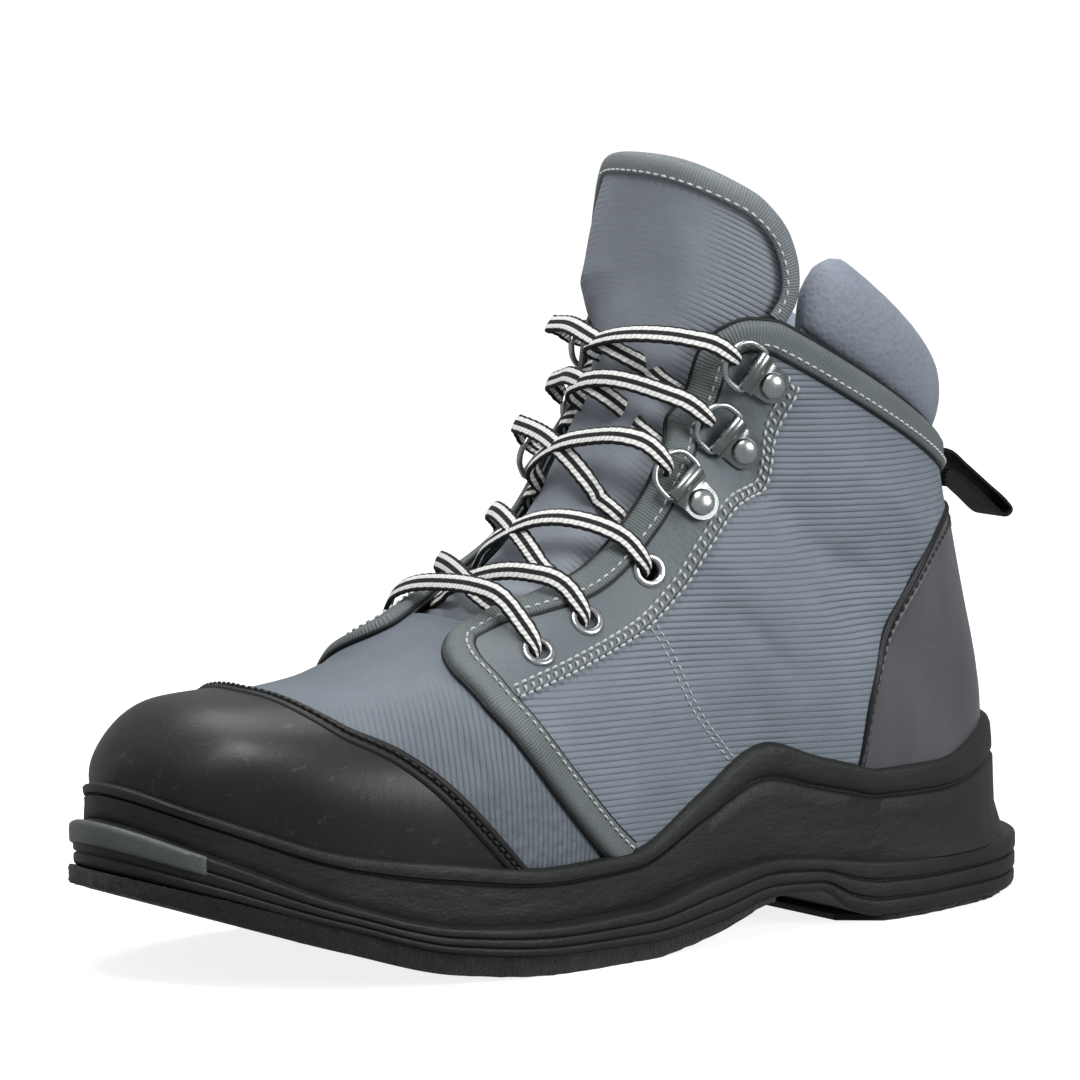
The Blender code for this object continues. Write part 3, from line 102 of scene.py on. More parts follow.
# The outer quarter's free edge, from the rand, round the front corner, up the throat and back round the
# collar. The inner quarter mirrors it. A station is a row of SECTIONS, a girth a share of the way down to
# the feather.
# Columns: station, girth
QUARTER_EDGE = (
    (6.00, 0.905),
    (5.70, 0.780),
    (5.42, 0.660),
    (5.18, 0.540),
    (5.00, 0.420),
    (4.97, 0.310),
    (5.12, 0.205),
    (5.50, 0.150),
    (6.00, 0.160),
    (6.55, 0.200),
    (7.30, 0.225),
    (8.55, 0.195),
    (9.80, 0.155),
    (10.80, 0.130),
    (12.00, 0.145),
    (12.80, 0.165),
    (13.50, 0.215),
    (13.85, 0.270),
    (14.00, 0.340),
    (14.00, 0.420),
    (14.00, 0.600),
    (14.00, 0.800),
    (14.00, 1.000),
)
THROAT_ROWS = slice(7, 19)  # the rows that run up the throat

# Where the eyestay is stitched to the quarter
EYESTAY_SEAM = (
    (5.38, 0.440),
    (6.40, 0.430),
    (7.35, 0.410),
    (8.20, 0.365),
    (9.00, 0.315),
    (10.00, 0.285),
    (12.10, 0.285),
    (13.40, 0.355),
)

# The toe cap's back edge: a station for each girth
# Columns: girth, station
CAP_EDGE = (
    (0.00, 2.72),
    (0.26, 2.82),
    (0.44, 3.05),
    (0.55, 3.50),
    (0.71, 4.12),
    (0.88, 4.70),
    (1.00, 5.05),
)

# The counter's top edge: a height over the floor, as a share of COLLAR_HEIGHT, for each place forward of
# the heel
# Columns: fore, rise
COUNTER_EDGE = (
    (0.000, 0.790),
    (0.060, 0.785),
    (0.115, 0.765),
    (0.150, 0.705),
    (0.178, 0.630),
    (0.212, 0.545),
    (0.230, 0.480),
    (0.238, 0.360),
)

FOREFOOT_FLAT = (0.542, 0.640)  # where the forefoot rests, as shares of LAST_LENGTH

# The sole's side along its length: forward as a share of LAST_LENGTH, heights as shares of SOLE_STACK, and
# how far the sole unit stands out as a share of FLANGE
SOLE_COLUMNS = ("fore", "floor", "felt", "step", "rand", "out")
SOLE = (
    (0.000, 0.00, 0.07, 0.70, 2.07, 1.45),
    (0.143, 0.00, 0.07, 0.65, 1.74, 1.10),
    (0.221, 0.00, 0.07, 0.69, 1.74, 1.00),
    (0.255, 0.09, 0.07, 0.74, 1.83, 0.95),
    (0.299, 0.37, 0.06, 0.81, 1.96, 0.90),
    (0.362, 0.39, 0.06, 0.87, 2.17, 0.90),
    (0.445, 0.15, 0.13, 0.78, 1.72, 0.95),
    (FOREFOOT_FLAT[0], 0.00, 0.20, 0.57, 1.18, 1.00),
    (FOREFOOT_FLAT[1], 0.00, 0.22, 0.54, 1.14, 1.00),
    (0.757, 0.11, 0.24, 0.63, 1.30, 1.00),
    (0.854, 0.41, 0.26, 0.93, 1.46, 0.95),
    (0.932, 0.72, 0.24, 1.33, 1.77, 0.84),
    (1.000, 1.04, 0.18, 1.73, 2.13, 0.72),
)

# The rand's outer side from top to bottom: depth down the wall and thickness, as a share of RAND_WALL
RAND_WALL = 0.0034

# The sole unit's side from its step down to the felt: depth and how far it stands out, a share of FLANGE
FLANGE = 0.0112  # beyond the last's bottom

TAPE_WIDTH = 0.0070
TAPE_THICK = 0.0009
INSOLE_THICK = 0.0045
TONGUE_THICK = 0.0095
TONGUE_EDGE = 0.0024
TONGUE_HALF = 0.0580  # half its width, along the cloth
TONGUE_SINK = WALL + 0.0011  # its face under the eyestays
HEEL_FELT_END = 0.221
FELT_START = 0.362
EYELETS = ((6.00, 0.350), (6.85, 0.330), (8.00, 0.300))
RING_MOUNTS = ((9.30, 0.250), (11.60, 0.235), (13.10, 0.290))
EYELET_FLANGE = 0.0100
EYELET_HOLE = 0.0058
BARREL = 0.0068
WIRE = 0.0018
RING_WIDTH = 0.0136
RING_REACH = 0.0100
BAR_REACH = 0.0074  # rivet to the ring's bar
BAR_HEIGHT = 0.0022
CLIP_WIDTH = 0.0106
CLIP_THICK = 0.0009
RIVET = 0.0078
LACE_WIDTH = 0.0058
LACE_THICK = 0.0018
LOOP_WIDTH = 0.0135
LOOP_REACH = 0.0305
WEBBING = 0.0011

# The collar pad's section: a station and how far out from the last's surface, as a share of PAD_DEPTH
PAD_DEPTH = 0.0150
# Columns: station, out
PAD_PROFILE = (
    (13.50, -0.240),
    (13.90, -0.240),
    (14.07, -0.227),
    (14.17, 0.000),
    (14.40, 0.160),
    (14.70, 0.133),
    (14.92, -0.107),
    (15.00, -0.467),
    (14.80, -0.867),
    (14.30, -1.000),
    (13.60, -0.833),
    (13.32, -0.500),
)
PAD_FRONT = 0.41  # girth of its front ends
# The tongue's half width, as a share of TONGUE_HALF
# Columns: station, share
TONGUE_TAPER = (
    (5.30, 0.50),
    (7.00, 0.64),
    (9.00, 0.76),
    (12.00, 0.84),
    (13.90, 0.90),
    (14.40, 1.00),
)
# Its thickness, as a share of TONGUE_THICK
# Columns: station, share
TONGUE_DEPTH = (
    (5.30, 0.32),
    (6.50, 0.45),
    (9.00, 0.80),
    (12.00, 1.00),
    (14.50, 1.00),
    (15.00, 0.55),
)
TONGUE_ROUND = 14.2  # station from which its top is rounded
# A strand's last places before its eyelet or ring: how far off towards the ridge as a share of LACE_WIDTH,
# how high over the rim as a share of LACE_LIFT, and its width as a share of LACE_WIDTH
LACE_LIFT = 0.0037
# Columns: off, high, width
LACE_DIVE = (
    (1.90, 0.66, 1.00),
    (1.03, 0.62, 0.96),
    (0.38, 0.48, 0.78),
    (0.07, 0.10, 0.64),
    (0.00, -0.35, 0.60),
)
OVER_TAPE = 0.0044  # a strand's height over the last where it crosses the binding
END_RISE = 0.3  # how much higher it is before it dives, as a share of OVER_TAPE
START_WIDTH = 0.9  # its width where it comes up, as a share of LACE_WIDTH
# A strand's first places: in from the throat's edge, and up
FLAP_START = ((0.0056, -0.0013), (0.0106, 0.0002))
# Where a strand starts and the pass it ends in
CROSSINGS = ((6.20, 1), (7.05, 2), (8.30, 3), (9.75, 4), (11.85, 5))
BAR_LEAST = 0.0038  # the bar's least height over the last
OVER_LEAST = -0.0005  # the same for a crossing's upper strand
OVER_HUMP = 0.0023  # and its rise over the lower one
UNDER_LEAST = -0.0004
# The pull loop's middle line, out from the heel and up from its root, as shares of LOOP_REACH
LOOP_PATH = (
    (0.045, -0.130),
    (0.020, 0.000),
    (0.060, 0.100),
    (0.190, 0.090),
    (0.400, -0.060),
    (0.680, -0.270),
    (0.930, -0.460),
    (1.000, -0.550),
    (0.930, -0.600),
    (0.660, -0.410),
    (0.380, -0.200),
    (0.210, -0.110),
    (0.150, -0.150),
    (0.140, -0.260),
)


def slopes_of(keys, values):
    """Slopes of a cubic that never overshoots its rows."""
    steps = np.diff(keys)
    rises = np.diff(values, axis=0) / steps[:, None]
    slopes = np.zeros_like(values)
    left, right = rises[:-1], rises[1:]
    same = left * right > 0
    weight_left = (2 * steps[1:] + steps[:-1])[:, None]
    weight_right = (steps[1:] + 2 * steps[:-1])[:, None]
    total = weight_left + weight_right
    with np.errstate(divide="ignore", invalid="ignore"):
        mean = total / (weight_left / left + weight_right / right)
    slopes[1:-1] = np.where(same, mean, 0.0)
    slopes[0], slopes[-1] = rises[0], rises[-1]
    return slopes


class Track:
    """A smooth curve through the rows of a table, read at any place along its key."""

    def __init__(self, keys, values):
        self.keys = np.asarray(keys, float)
        self.values = np.asarray(values, float)
        self.slopes = slopes_of(self.keys, self.values)

    def at(self, key):
        """The row at one key or, for an array of keys, a row for each."""
        key = np.clip(np.asarray(key, float), self.keys[0], self.keys[-1])
        i = np.clip(np.searchsorted(self.keys, key, side="right") - 1, 0, len(self.keys) - 2)
        step = self.keys[i + 1] - self.keys[i]
        u = ((key - self.keys[i]) / step)[..., None]
        step = step[..., None]
        v0, v1 = self.values[i], self.values[i + 1]
        m0, m1 = self.slopes[i] * step, self.slopes[i + 1] * step
        square, cube = u * u, u * u * u
        return (
            v0 * (2 * cube - 3 * square + 1)
            + m0 * (cube - 2 * square + u)
            + v1 * (3 * square - 2 * cube)
            + m1 * (cube - square)
        )


def plan_track():
    """The last's bottom. Half widths are kept squared, which makes both ends round."""
    rows = np.array(PLAN)
    rows[:, 2] = rows[:, 2] ** 2
    return Track(rows[:, 0], rows[:, 1:])


PLAN_TRACK = plan_track()


def plan_at(fore):
    """(swing, half width) of the last's bottom in metres, at a share of its length."""
    row = PLAN_TRACK.at(fore)
    half = np.sqrt(np.maximum(row[..., 1], 0.0))
    inside = (np.asarray(fore) > 0) & (np.asarray(fore) < 1)
    return row[..., 0] * BALL_WIDTH, np.where(inside, half, 0.0) * BALL_WIDTH


SECTION_TRACK = Track(range(len(SECTIONS)), SECTIONS)
SECTION_TRACK.slopes[0, [0, 2]] = 0.0  # the toe's tip is round in plan
CURVE_STEPS = 90


def section_at(t):
    """The half section at station t: fore, half width and rise of points from the ridge to the base."""
    row = dict(zip(SECTION_COLUMNS, SECTION_TRACK.at(t)))
    base_half = plan_at(row["base_fore"])[1] if t < HEEL_SEAT else 0.0
    widest_half = math.hypot(base_half * row["swell"], row["puff"] * BALL_WIDTH)
    base_half = min(base_half, widest_half * 0.97)
    turn = np.linspace(0, math.pi / 2, CURVE_STEPS)
    power = 2 / row["round"]
    upper_half = widest_half * np.sin(turn) ** power
    upper_height = row["widest"] + (1 - row["widest"]) * np.cos(turn) ** power
    lower_half = base_half + (widest_half - base_half) * np.cos(turn)
    lower_height = row["widest"] * (1 - np.sin(turn))
    half = np.concatenate([upper_half, lower_half[1:]])
    height = np.concatenate([upper_height, lower_height[1:]])
    fore = (row["base_fore"] + (row["ridge_fore"] - row["base_fore"]) * height) * LAST_LENGTH
    rise = (row["base_rise"] + (row["ridge_rise"] - row["base_rise"]) * height) * COLLAR_HEIGHT
    return fore, half, rise


def surface(t, girths):
    """Points on the last at station t. Girths run from -1 at the inner feather edge to 1 at the outer one."""
    fore, half, rise = section_at(t)
    girths = np.asarray(girths, float)
    lengths = np.sqrt(np.diff(fore) ** 2 + np.diff(half) ** 2 + np.diff(rise) ** 2)
    travel = np.concatenate([[0.0], np.cumsum(lengths)])
    place = np.abs(girths) * travel[-1]
    at_fore = np.interp(place, travel, fore)
    at_half = np.interp(place, travel, half) * np.sign(girths)
    at_rise = np.interp(place, travel, rise)
    swing = plan_at(at_fore / LAST_LENGTH)[0]
    return np.stack([swing + at_half, -at_fore, SOLE_STACK + at_rise], axis=-1)


SOLE_TRACK = Track([row[0] for row in SOLE], np.array(SOLE)[:, 1:])


def sole_at(fore, column):
    """A height of the sole's side, or how far it stands out, in metres at a share of the last's length."""
    size = FLANGE if column == "out" else SOLE_STACK
    return SOLE_TRACK.at(fore)[..., SOLE_COLUMNS.index(column) - 1] * size


def feather_heights():
    """Where the upper's lower edge runs: shares of the last's length and heights over the floor."""
    rows = SECTION_TRACK.at(np.linspace(0, HEEL_SEAT, 200))
    fore = rows[::-1, SECTION_COLUMNS.index("base_fore")]
    rise = rows[::-1, SECTION_COLUMNS.index("base_rise")]
    return fore, SOLE_STACK + rise * COLLAR_HEIGHT


FEATHER_FORE, FEATHER_HEIGHT = feather_heights()


def feather_at(fore):
    """Height of the upper's lower edge."""
    return np.interp(fore, FEATHER_FORE, FEATHER_HEIGHT)


class Outline:
    """A loop round the last's bottom between two shares of its length, or round the whole of it."""

    def __init__(self, shares):
        shares = np.asarray(shares, float)
        swing, half = plan_at(shares)
        outer = np.stack([swing + half, -shares * LAST_LENGTH], -1)
        inner = np.stack([swing - half, -shares * LAST_LENGTH], -1)
        size = len(shares)
        order = [("o", k) for k in range(size)] + [("i", k) for k in range(size - 1, -1, -1)]
        order = [(s, k) for s, k in order if s == "o" or half[k] > 0]
        self.points = np.array([outer[k] if s == "o" else inner[k] for s, k in order])
        self.shares = np.array([shares[k] for s, k in order])
        place = {item: n for n, item in enumerate(order)}
        self.pairs = [(place[("o", k)], place.get(("i", k), place[("o", k)])) for k in range(size)]
        ahead = np.roll(self.points, -1, axis=0) - np.roll(self.points, 1, axis=0)
        normals = np.stack([-ahead[:, 1], ahead[:, 0]], -1)
        normals /= np.linalg.norm(normals, axis=1, keepdims=True)
        middle = self.points.mean(axis=0)
        if ((self.points - middle) * normals).sum() < 0:
            normals = -normals
        self.normals = normals

    def loop(self, offset, height):
        """The loop moved outwards and set at a height. Both may be numbers or one value for each point."""
        offset = np.broadcast_to(offset, self.shares.shape)[:, None]
        height = np.broadcast_to(height, self.shares.shape)
        return np.column_stack([self.points + self.normals * offset, height])

    def caps(self, start):
        """Faces across the loop whose first point is start."""
        faces = []
        for (a, b), (c, d) in zip(self.pairs, self.pairs[1:]):
            ring = [a, c, d, b]
            ring = [k for n, k in enumerate(ring) if k != ring[n - 1]]
            faces.append(tuple(k + start for k in ring))
        return faces


# Where the frame has the last's heel: in the middle of the pull loop, and so far behind the upper's toe tip
TOE_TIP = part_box("upper")[0][1]
LOOP_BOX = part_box("pull_loop")
SHIFT = np.array(((LOOP_BOX[0][0] + LOOP_BOX[1][0]) / 2, TOE_TIP + LAST_LENGTH, 0.0))


class Last:
    """The boot's outer surface, sampled finely, read at any stations and girths."""

    def __init__(self, columns=281):
        self.stations = np.concatenate([np.linspace(0, 1, 41) ** 2, np.linspace(1, COLLAR_TOP, 281)[1:]])
        self.girths = np.linspace(-1, 1, columns)
        self.points = np.array([surface(t, self.girths) for t in self.stations])
        self.relax(10, 0.5)
        self.relax(160, 0.5 * np.exp(-(((self.stations[45:-1] - HEEL_SEAT) / 1.1) ** 4))[:, None, None])
        self.points += SHIFT
        along = np.gradient(self.points, axis=0)
        across = np.gradient(self.points, axis=1)
        normals = np.cross(across, along)
        normals /= np.maximum(np.linalg.norm(normals, axis=2, keepdims=True), 1e-9)
        behind = self.stations > HEEL_SEAT
        for column in (0, -1):
            normals[behind, column, 0] = 0.0
        normals[0] = (0.0, -1.0, 0.0)
        if (normals[:, columns // 2, 2]).mean() < 0:
            normals = -normals
            normals[0] = -normals[0]
        self.normals = normals / np.linalg.norm(normals, axis=2, keepdims=True)
        self.lengths = np.linalg.norm(np.diff(self.points, axis=1), axis=2).sum(axis=1) / 2
        step = np.linalg.norm(along, axis=2) / np.gradient(self.stations)[:, None]
        self.step = step

    def relax(self, rounds, strength):
        """Evens out the kinks between the table's sections, behind the toe."""
        for _ in range(rounds):
            inner = self.points[1:-1, 1:-1]
            rows = (self.points[:-2, 1:-1] + self.points[2:, 1:-1]) / 2
            inner[44:] += strength * (rows - inner)[44:]

    def place_of(self, face):
        """Station and girth of one of the surface's faces, counted row by row."""
        row, column = divmod(face, len(self.girths) - 1)
        return self.stations[row], self.girths[column]

    def read(self, table, t, g):
        t, g = np.broadcast_arrays(np.asarray(t, float), np.asarray(g, float))
        row = np.interp(t, self.stations, np.arange(len(self.stations)))
        column = (np.clip(g, -1, 1) + 1) / 2 * (len(self.girths) - 1)
        i = np.clip(np.floor(row).astype(int), 0, len(self.stations) - 2)
        j = np.clip(np.floor(column).astype(int), 0, len(self.girths) - 2)
        u, v = row - i, column - j
        if table.ndim == 3:
            u, v = u[..., None], v[..., None]
        return (table[i, j] * (1 - u) * (1 - v) + table[i + 1, j] * u * (1 - v)
                + table[i, j + 1] * (1 - u) * v + table[i + 1, j + 1] * u * v)

    def at(self, t, g, lift=0.0):
        """Points on the surface, lifted off it along its normals."""
        lift = np.broadcast_to(lift, np.broadcast(t, g).shape)[..., None]
        return self.read(self.points, t, g) + self.normal(t, g) * lift

    def normal(self, t, g):
        normals = self.read(self.normals, t, g)
        return normals / np.linalg.norm(normals, axis=-1, keepdims=True)

    def length(self, t):
        """Half the surface's girth at a station."""
        return np.interp(t, self.stations, self.lengths)


def smooth_path(rows, count):
    """Evenly spaced places along a curve through the rows, as (station, girth)."""
    rows = np.asarray(rows, float)
    track = Track(np.arange(len(rows)), rows)
    fine = np.linspace(0, len(rows) - 1, 60 * len(rows))
    places = track.at(fine)
    spots = LAST.at(places[:, 0], places[:, 1])
    travel = np.concatenate([[0.0], np.cumsum(np.linalg.norm(np.diff(spots, axis=0), axis=1))])
    return track.at(np.interp(np.linspace(0, travel[-1], count), travel, fine))


def beside(places, away):
    """The path moved sideways over the surface, by a distance in metres to its left."""
    ahead = np.gradient(places, axis=0)
    step = LAST.read(LAST.step, places[:, 0], places[:, 1])
    girth = LAST.length(places[:, 0])
    run, side = ahead[:, 0] * step, ahead[:, 1] * girth
    size = np.maximum(np.hypot(run, side), 1e-9)
    away = np.broadcast_to(away, size.shape)
    return places + np.stack([-side / size * away / step, run / size * away / girth], -1)


def soft_dent(places, spot, run, length, width, depth):
    """Depth of a soft trough at the places: a line that starts at spot and runs over the surface."""
    t, g = places
    start = LAST.at(*spot)
    finish = LAST.at(spot[0] + run[0], spot[1] + run[1])
    line = finish - start
    size = np.linalg.norm(line)
    line /= size
    offset = LAST.at(t, g) - start
    along = offset @ line
    off = np.linalg.norm(offset - along[..., None] * line, axis=-1)
    fade = np.clip(along / length, 0, 1)
    ends = np.sin(np.pi * fade) ** 0.7 * ((along > 0) & (along < length))
    return -depth * ends * np.exp(-((off / width) ** 2))


# Soft troughs (positive depth) and ridges pressed into the cloth: where each starts, which way it runs, its
# length, half width and depth in metres
# Columns: station, girth, along, around, length, width, depth
CREASES = (
    (4.30, 0.30, 0.10, 0.25, 0.034, 0.0024, 0.0009),
    (4.55, 0.34, 0.15, 0.30, 0.040, 0.0026, -0.0007),
    (4.75, 0.22, -0.05, 0.25, 0.026, 0.0020, 0.0008),
    (4.60, -0.10, 0.05, -0.30, 0.040, 0.0030, 0.0008),
    (4.20, -0.30, 0.05, -0.30, 0.034, 0.0026, 0.0008),
    (8.60, 0.42, 0.40, 0.30, 0.045, 0.0040, 0.0010),
    (9.60, 0.40, 0.80, 0.16, 0.050, 0.0046, 0.0012),
    (10.4, 0.38, 1.10, 0.10, 0.048, 0.0044, 0.0010),
    (12.3, 0.50, 0.10, 0.25, 0.046, 0.0050, 0.0012),
    (12.9, 0.46, 0.10, 0.30, 0.050, 0.0044, -0.0008),
    (8.60, -0.42, 0.40, -0.30, 0.045, 0.0040, 0.0010),
    (9.80, -0.40, 0.80, -0.16, 0.050, 0.0046, 0.0012),
    (12.3, -0.50, 0.10, -0.25, 0.046, 0.0050, 0.0012),
    (13.0, -0.46, 0.10, -0.30, 0.050, 0.0044, -0.0008),
)


def creased(t, g):
    """How far the creases press the cloth in or out at each place."""
    t, g = np.broadcast_arrays(np.asarray(t, float), np.asarray(g, float))
    total = np.zeros(t.shape)
    for station, girth, along, around, length, width, depth in CREASES:
        total += soft_dent((t, g), (station, girth), (along, around), length, width, depth)
    return total


PIECES = []


def make(name, points, faces, look, uv=None, marks=None, replaces=(), sharp=None):
    """One finished piece, riding on the boot."""
    mesh = bpy.data.meshes.new(name)
    mesh.from_pydata(np.asarray(points, float).tolist(), [], [tuple(map(int, f)) for f in faces])
    mesh.materials.append(look)
    mesh.shade_smooth()
    if sharp:
        mesh.set_sharp_from_angle(angle=math.radians(sharp))
    if uv is not None:
        layer = mesh.uv_layers.new(name="cloth")
        corners = np.empty(len(mesh.loops), int)
        mesh.loops.foreach_get("vertex_index", corners)
        layer.data.foreach_set("uv", np.asarray(uv, float)[corners].ravel())
    for key, values in (marks or {}).items():
        attribute = mesh.attributes.new(key, "FLOAT", "POINT")
        attribute.data.foreach_set("value", np.asarray(values, float).ravel())
    piece = bpy.data.objects.new(name, mesh)
    bpy.context.scene.collection.objects.link(piece)
    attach(piece, "root")
    if replaces:
        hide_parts(*replaces)
    PIECES.append(piece)
    return piece


def quads(rows, columns, closed=False, start=0):
    """Faces of a grid of points."""
    last = columns if closed else columns - 1
    i, j = np.meshgrid(np.arange(rows - 1), np.arange(last), indexing="ij")
    k = (j + 1) % columns
    faces = np.stack([i * columns + j, i * columns + k, (i + 1) * columns + k, (i + 1) * columns + j], -1)
    return faces.reshape(-1, 4) + start


def drop_doubles(piece, distance=0.00002):
    work = bmesh.new()
    work.from_mesh(piece.data)
    bmesh.ops.remove_doubles(work, verts=work.verts[:], dist=distance)
    work.to_mesh(piece.data)
    work.free()
    return piece


def panel(name, t, g, low, high, look, keep=None, replaces=()):
    """A sheet of cloth over the surface: t and g are grids, low and high its two faces' lifts."""
    t, g = np.broadcast_arrays(np.asarray(t, float), np.asarray(g, float))
    press = creased(t, g)
    top = LAST.at(t, g, press + high)
    under = LAST.at(t, g, press + low)
    rows, columns = t.shape
    faces = quads(rows, columns)
    if keep is not None:
        faces = faces[keep(t, g, top).ravel()[faces].all(axis=1)]
    count = rows * columns
    lower = faces[:, ::-1] + count
    edges = {}
    for face in faces.tolist():
        for a, b in zip(face, face[1:] + face[:1]):
            edges[(a, b)] = True
    rim = [(b, a, a + count, b + count) for a, b in edges if (b, a) not in edges]
    points = np.concatenate([top.reshape(-1, 3), under.reshape(-1, 3)])
    made = faces.tolist() + lower.tolist() + rim
    used = np.unique(np.concatenate([np.ravel(f) for f in (faces, lower)]))
    place = np.full(len(points), -1)
    place[used] = np.arange(len(used))
    made = [[place[k] for k in face] for face in made]
    steps = np.linalg.norm(np.diff(top, axis=0), axis=2)
    run = np.cumsum(np.concatenate([np.zeros((1, columns)), steps]), axis=0)
    around = g * LAST.length(t)
    uv = np.stack([around, run], -1).reshape(-1, 2)
    uv = np.concatenate([uv, uv])[used]
    girth = np.concatenate([g.ravel(), g.ravel()])[used]
    station = np.concatenate([t.ravel(), t.ravel()])[used]
    piece = make(name, points[used], made, look, uv, {"girth": girth, "station": station}, replaces)
    drop_doubles(piece)
    return piece


def swept(name, rings, look, closed_path=False, replaces=()):
    """A closed section at each place of a path. rings is (places, points of the section, 3)."""
    rings = np.asarray(rings, float)
    rows, columns = rings.shape[:2]
    centres = rings.mean(axis=1)
    run = np.concatenate([[0.0], np.cumsum(np.linalg.norm(np.diff(centres, axis=0), axis=1))])
    if closed_path:
        rings = np.concatenate([rings, rings[:1]])
        run = np.concatenate([run, [run[-1] + np.linalg.norm(centres[0] - centres[-1])]])
        rows += 1
    rings = np.concatenate([rings, rings[:, :1]], axis=1)
    around = np.linspace(0, 1, columns + 1)
    uv = np.stack(np.broadcast_arrays(around[None, :], run[:, None]), -1).reshape(-1, 2)
    faces = quads(rows, columns + 1).tolist()
    points = rings.reshape(-1, 3)
    if not closed_path:
        faces.append(list(range(columns))[::-1])
        faces.append([(rows - 1) * (columns + 1) + k for k in range(columns)])
    return make(name, points, faces, look, uv, None, replaces)


def tube_rings(path, radius, segments=10, squash=1.0, up=None):
    """Round sections along a path of points. radius is one number or one for each place."""
    path = np.asarray(path, float)
    ahead = np.gradient(path, axis=0)
    ahead /= np.maximum(np.linalg.norm(ahead, axis=1, keepdims=True), 1e-9)
    up = np.broadcast_to((0.0, 0.0, 1.0) if up is None else up, path.shape)
    side = np.cross(ahead, up)
    side /= np.maximum(np.linalg.norm(side, axis=1, keepdims=True), 1e-9)
    top = np.cross(side, ahead)
    turn = np.linspace(0, 2 * np.pi, segments, endpoint=False)
    radius = np.broadcast_to(radius, (len(path),))[:, None, None]
    return (path[:, None] + radius * (np.cos(turn)[None, :, None] * side[:, None]
            + squash * np.sin(turn)[None, :, None] * top[:, None]))


def stitches(name, runs, look, step=0.0030, length=0.0022, width=0.0007, sink=0.35):
    """Rows of single stitches. Each run is (points, normals) of a path over the cloth."""
    points, faces = [], []
    turn = np.linspace(0, 2 * np.pi, 6, endpoint=False)
    for spots, normals in runs:
        travel = np.concatenate([[0.0], np.cumsum(np.linalg.norm(np.diff(spots, axis=0), axis=1))])
        count = max(int(travel[-1] / step), 1)
        for n in range(count):
            middle = (n + 0.5) * travel[-1] / count
            a, b = (np.array([np.interp(middle + d, travel, spots[:, k]) for k in range(3)])
                    for d in (-length / 2, length / 2))
            up = np.array([np.interp(middle, travel, normals[:, k]) for k in range(3)])
            up /= np.linalg.norm(up)
            ahead = b - a
            size = np.linalg.norm(ahead)
            if size < 1e-6:
                continue
            ahead /= size
            side = np.cross(ahead, up)
            shape = ((0, 0.35, -sink), (0.25, 0.9, 0.25), (0.75, 0.9, 0.25), (1, 0.35, -sink))
            for share, wide, high in shape:
                centre = a + (b - a) * share + up * width * high
                for angle in turn:
                    points.append(centre + wide * width / 2 * (side * math.cos(angle) + up * math.sin(angle)))
            base = len(points) - 24
            faces += quads(4, 6, closed=True, start=base).tolist()
    return make(name, np.array(points), faces, look)


def ladder(name, left, right, look, step=0.0028, width=0.0010):
    """Two rows of stitches with slanting ones between them."""
    runs = [left, right]
    travel = np.concatenate([[0.0], np.cumsum(np.linalg.norm(np.diff(left[0], axis=0), axis=1))])
    other = np.concatenate([[0.0], np.cumsum(np.linalg.norm(np.diff(right[0], axis=0), axis=1))])
    count = int(travel[-1] / step)
    for n in range(count):
        share, next_share = n / count, (n + 0.45) / count
        a = [np.interp(share * travel[-1], travel, left[0][:, k]) for k in range(3)]
        b = [np.interp(next_share * other[-1], other, right[0][:, k]) for k in range(3)]
        up = [np.interp(share * travel[-1], travel, left[1][:, k]) for k in range(3)]
        runs.append((np.array([a, b]), np.array([up, up])))
    return stitches(name, runs, look, step=step, length=step * 0.74, width=width)


def over_cloth(places, lift):
    """A path over the cloth as (points, normals)."""
    t, g = places[:, 0], places[:, 1]
    return LAST.at(t, g, creased(t, g) + lift), LAST.normal(t, g)


def mirrored(places):
    return places * (1, -1)


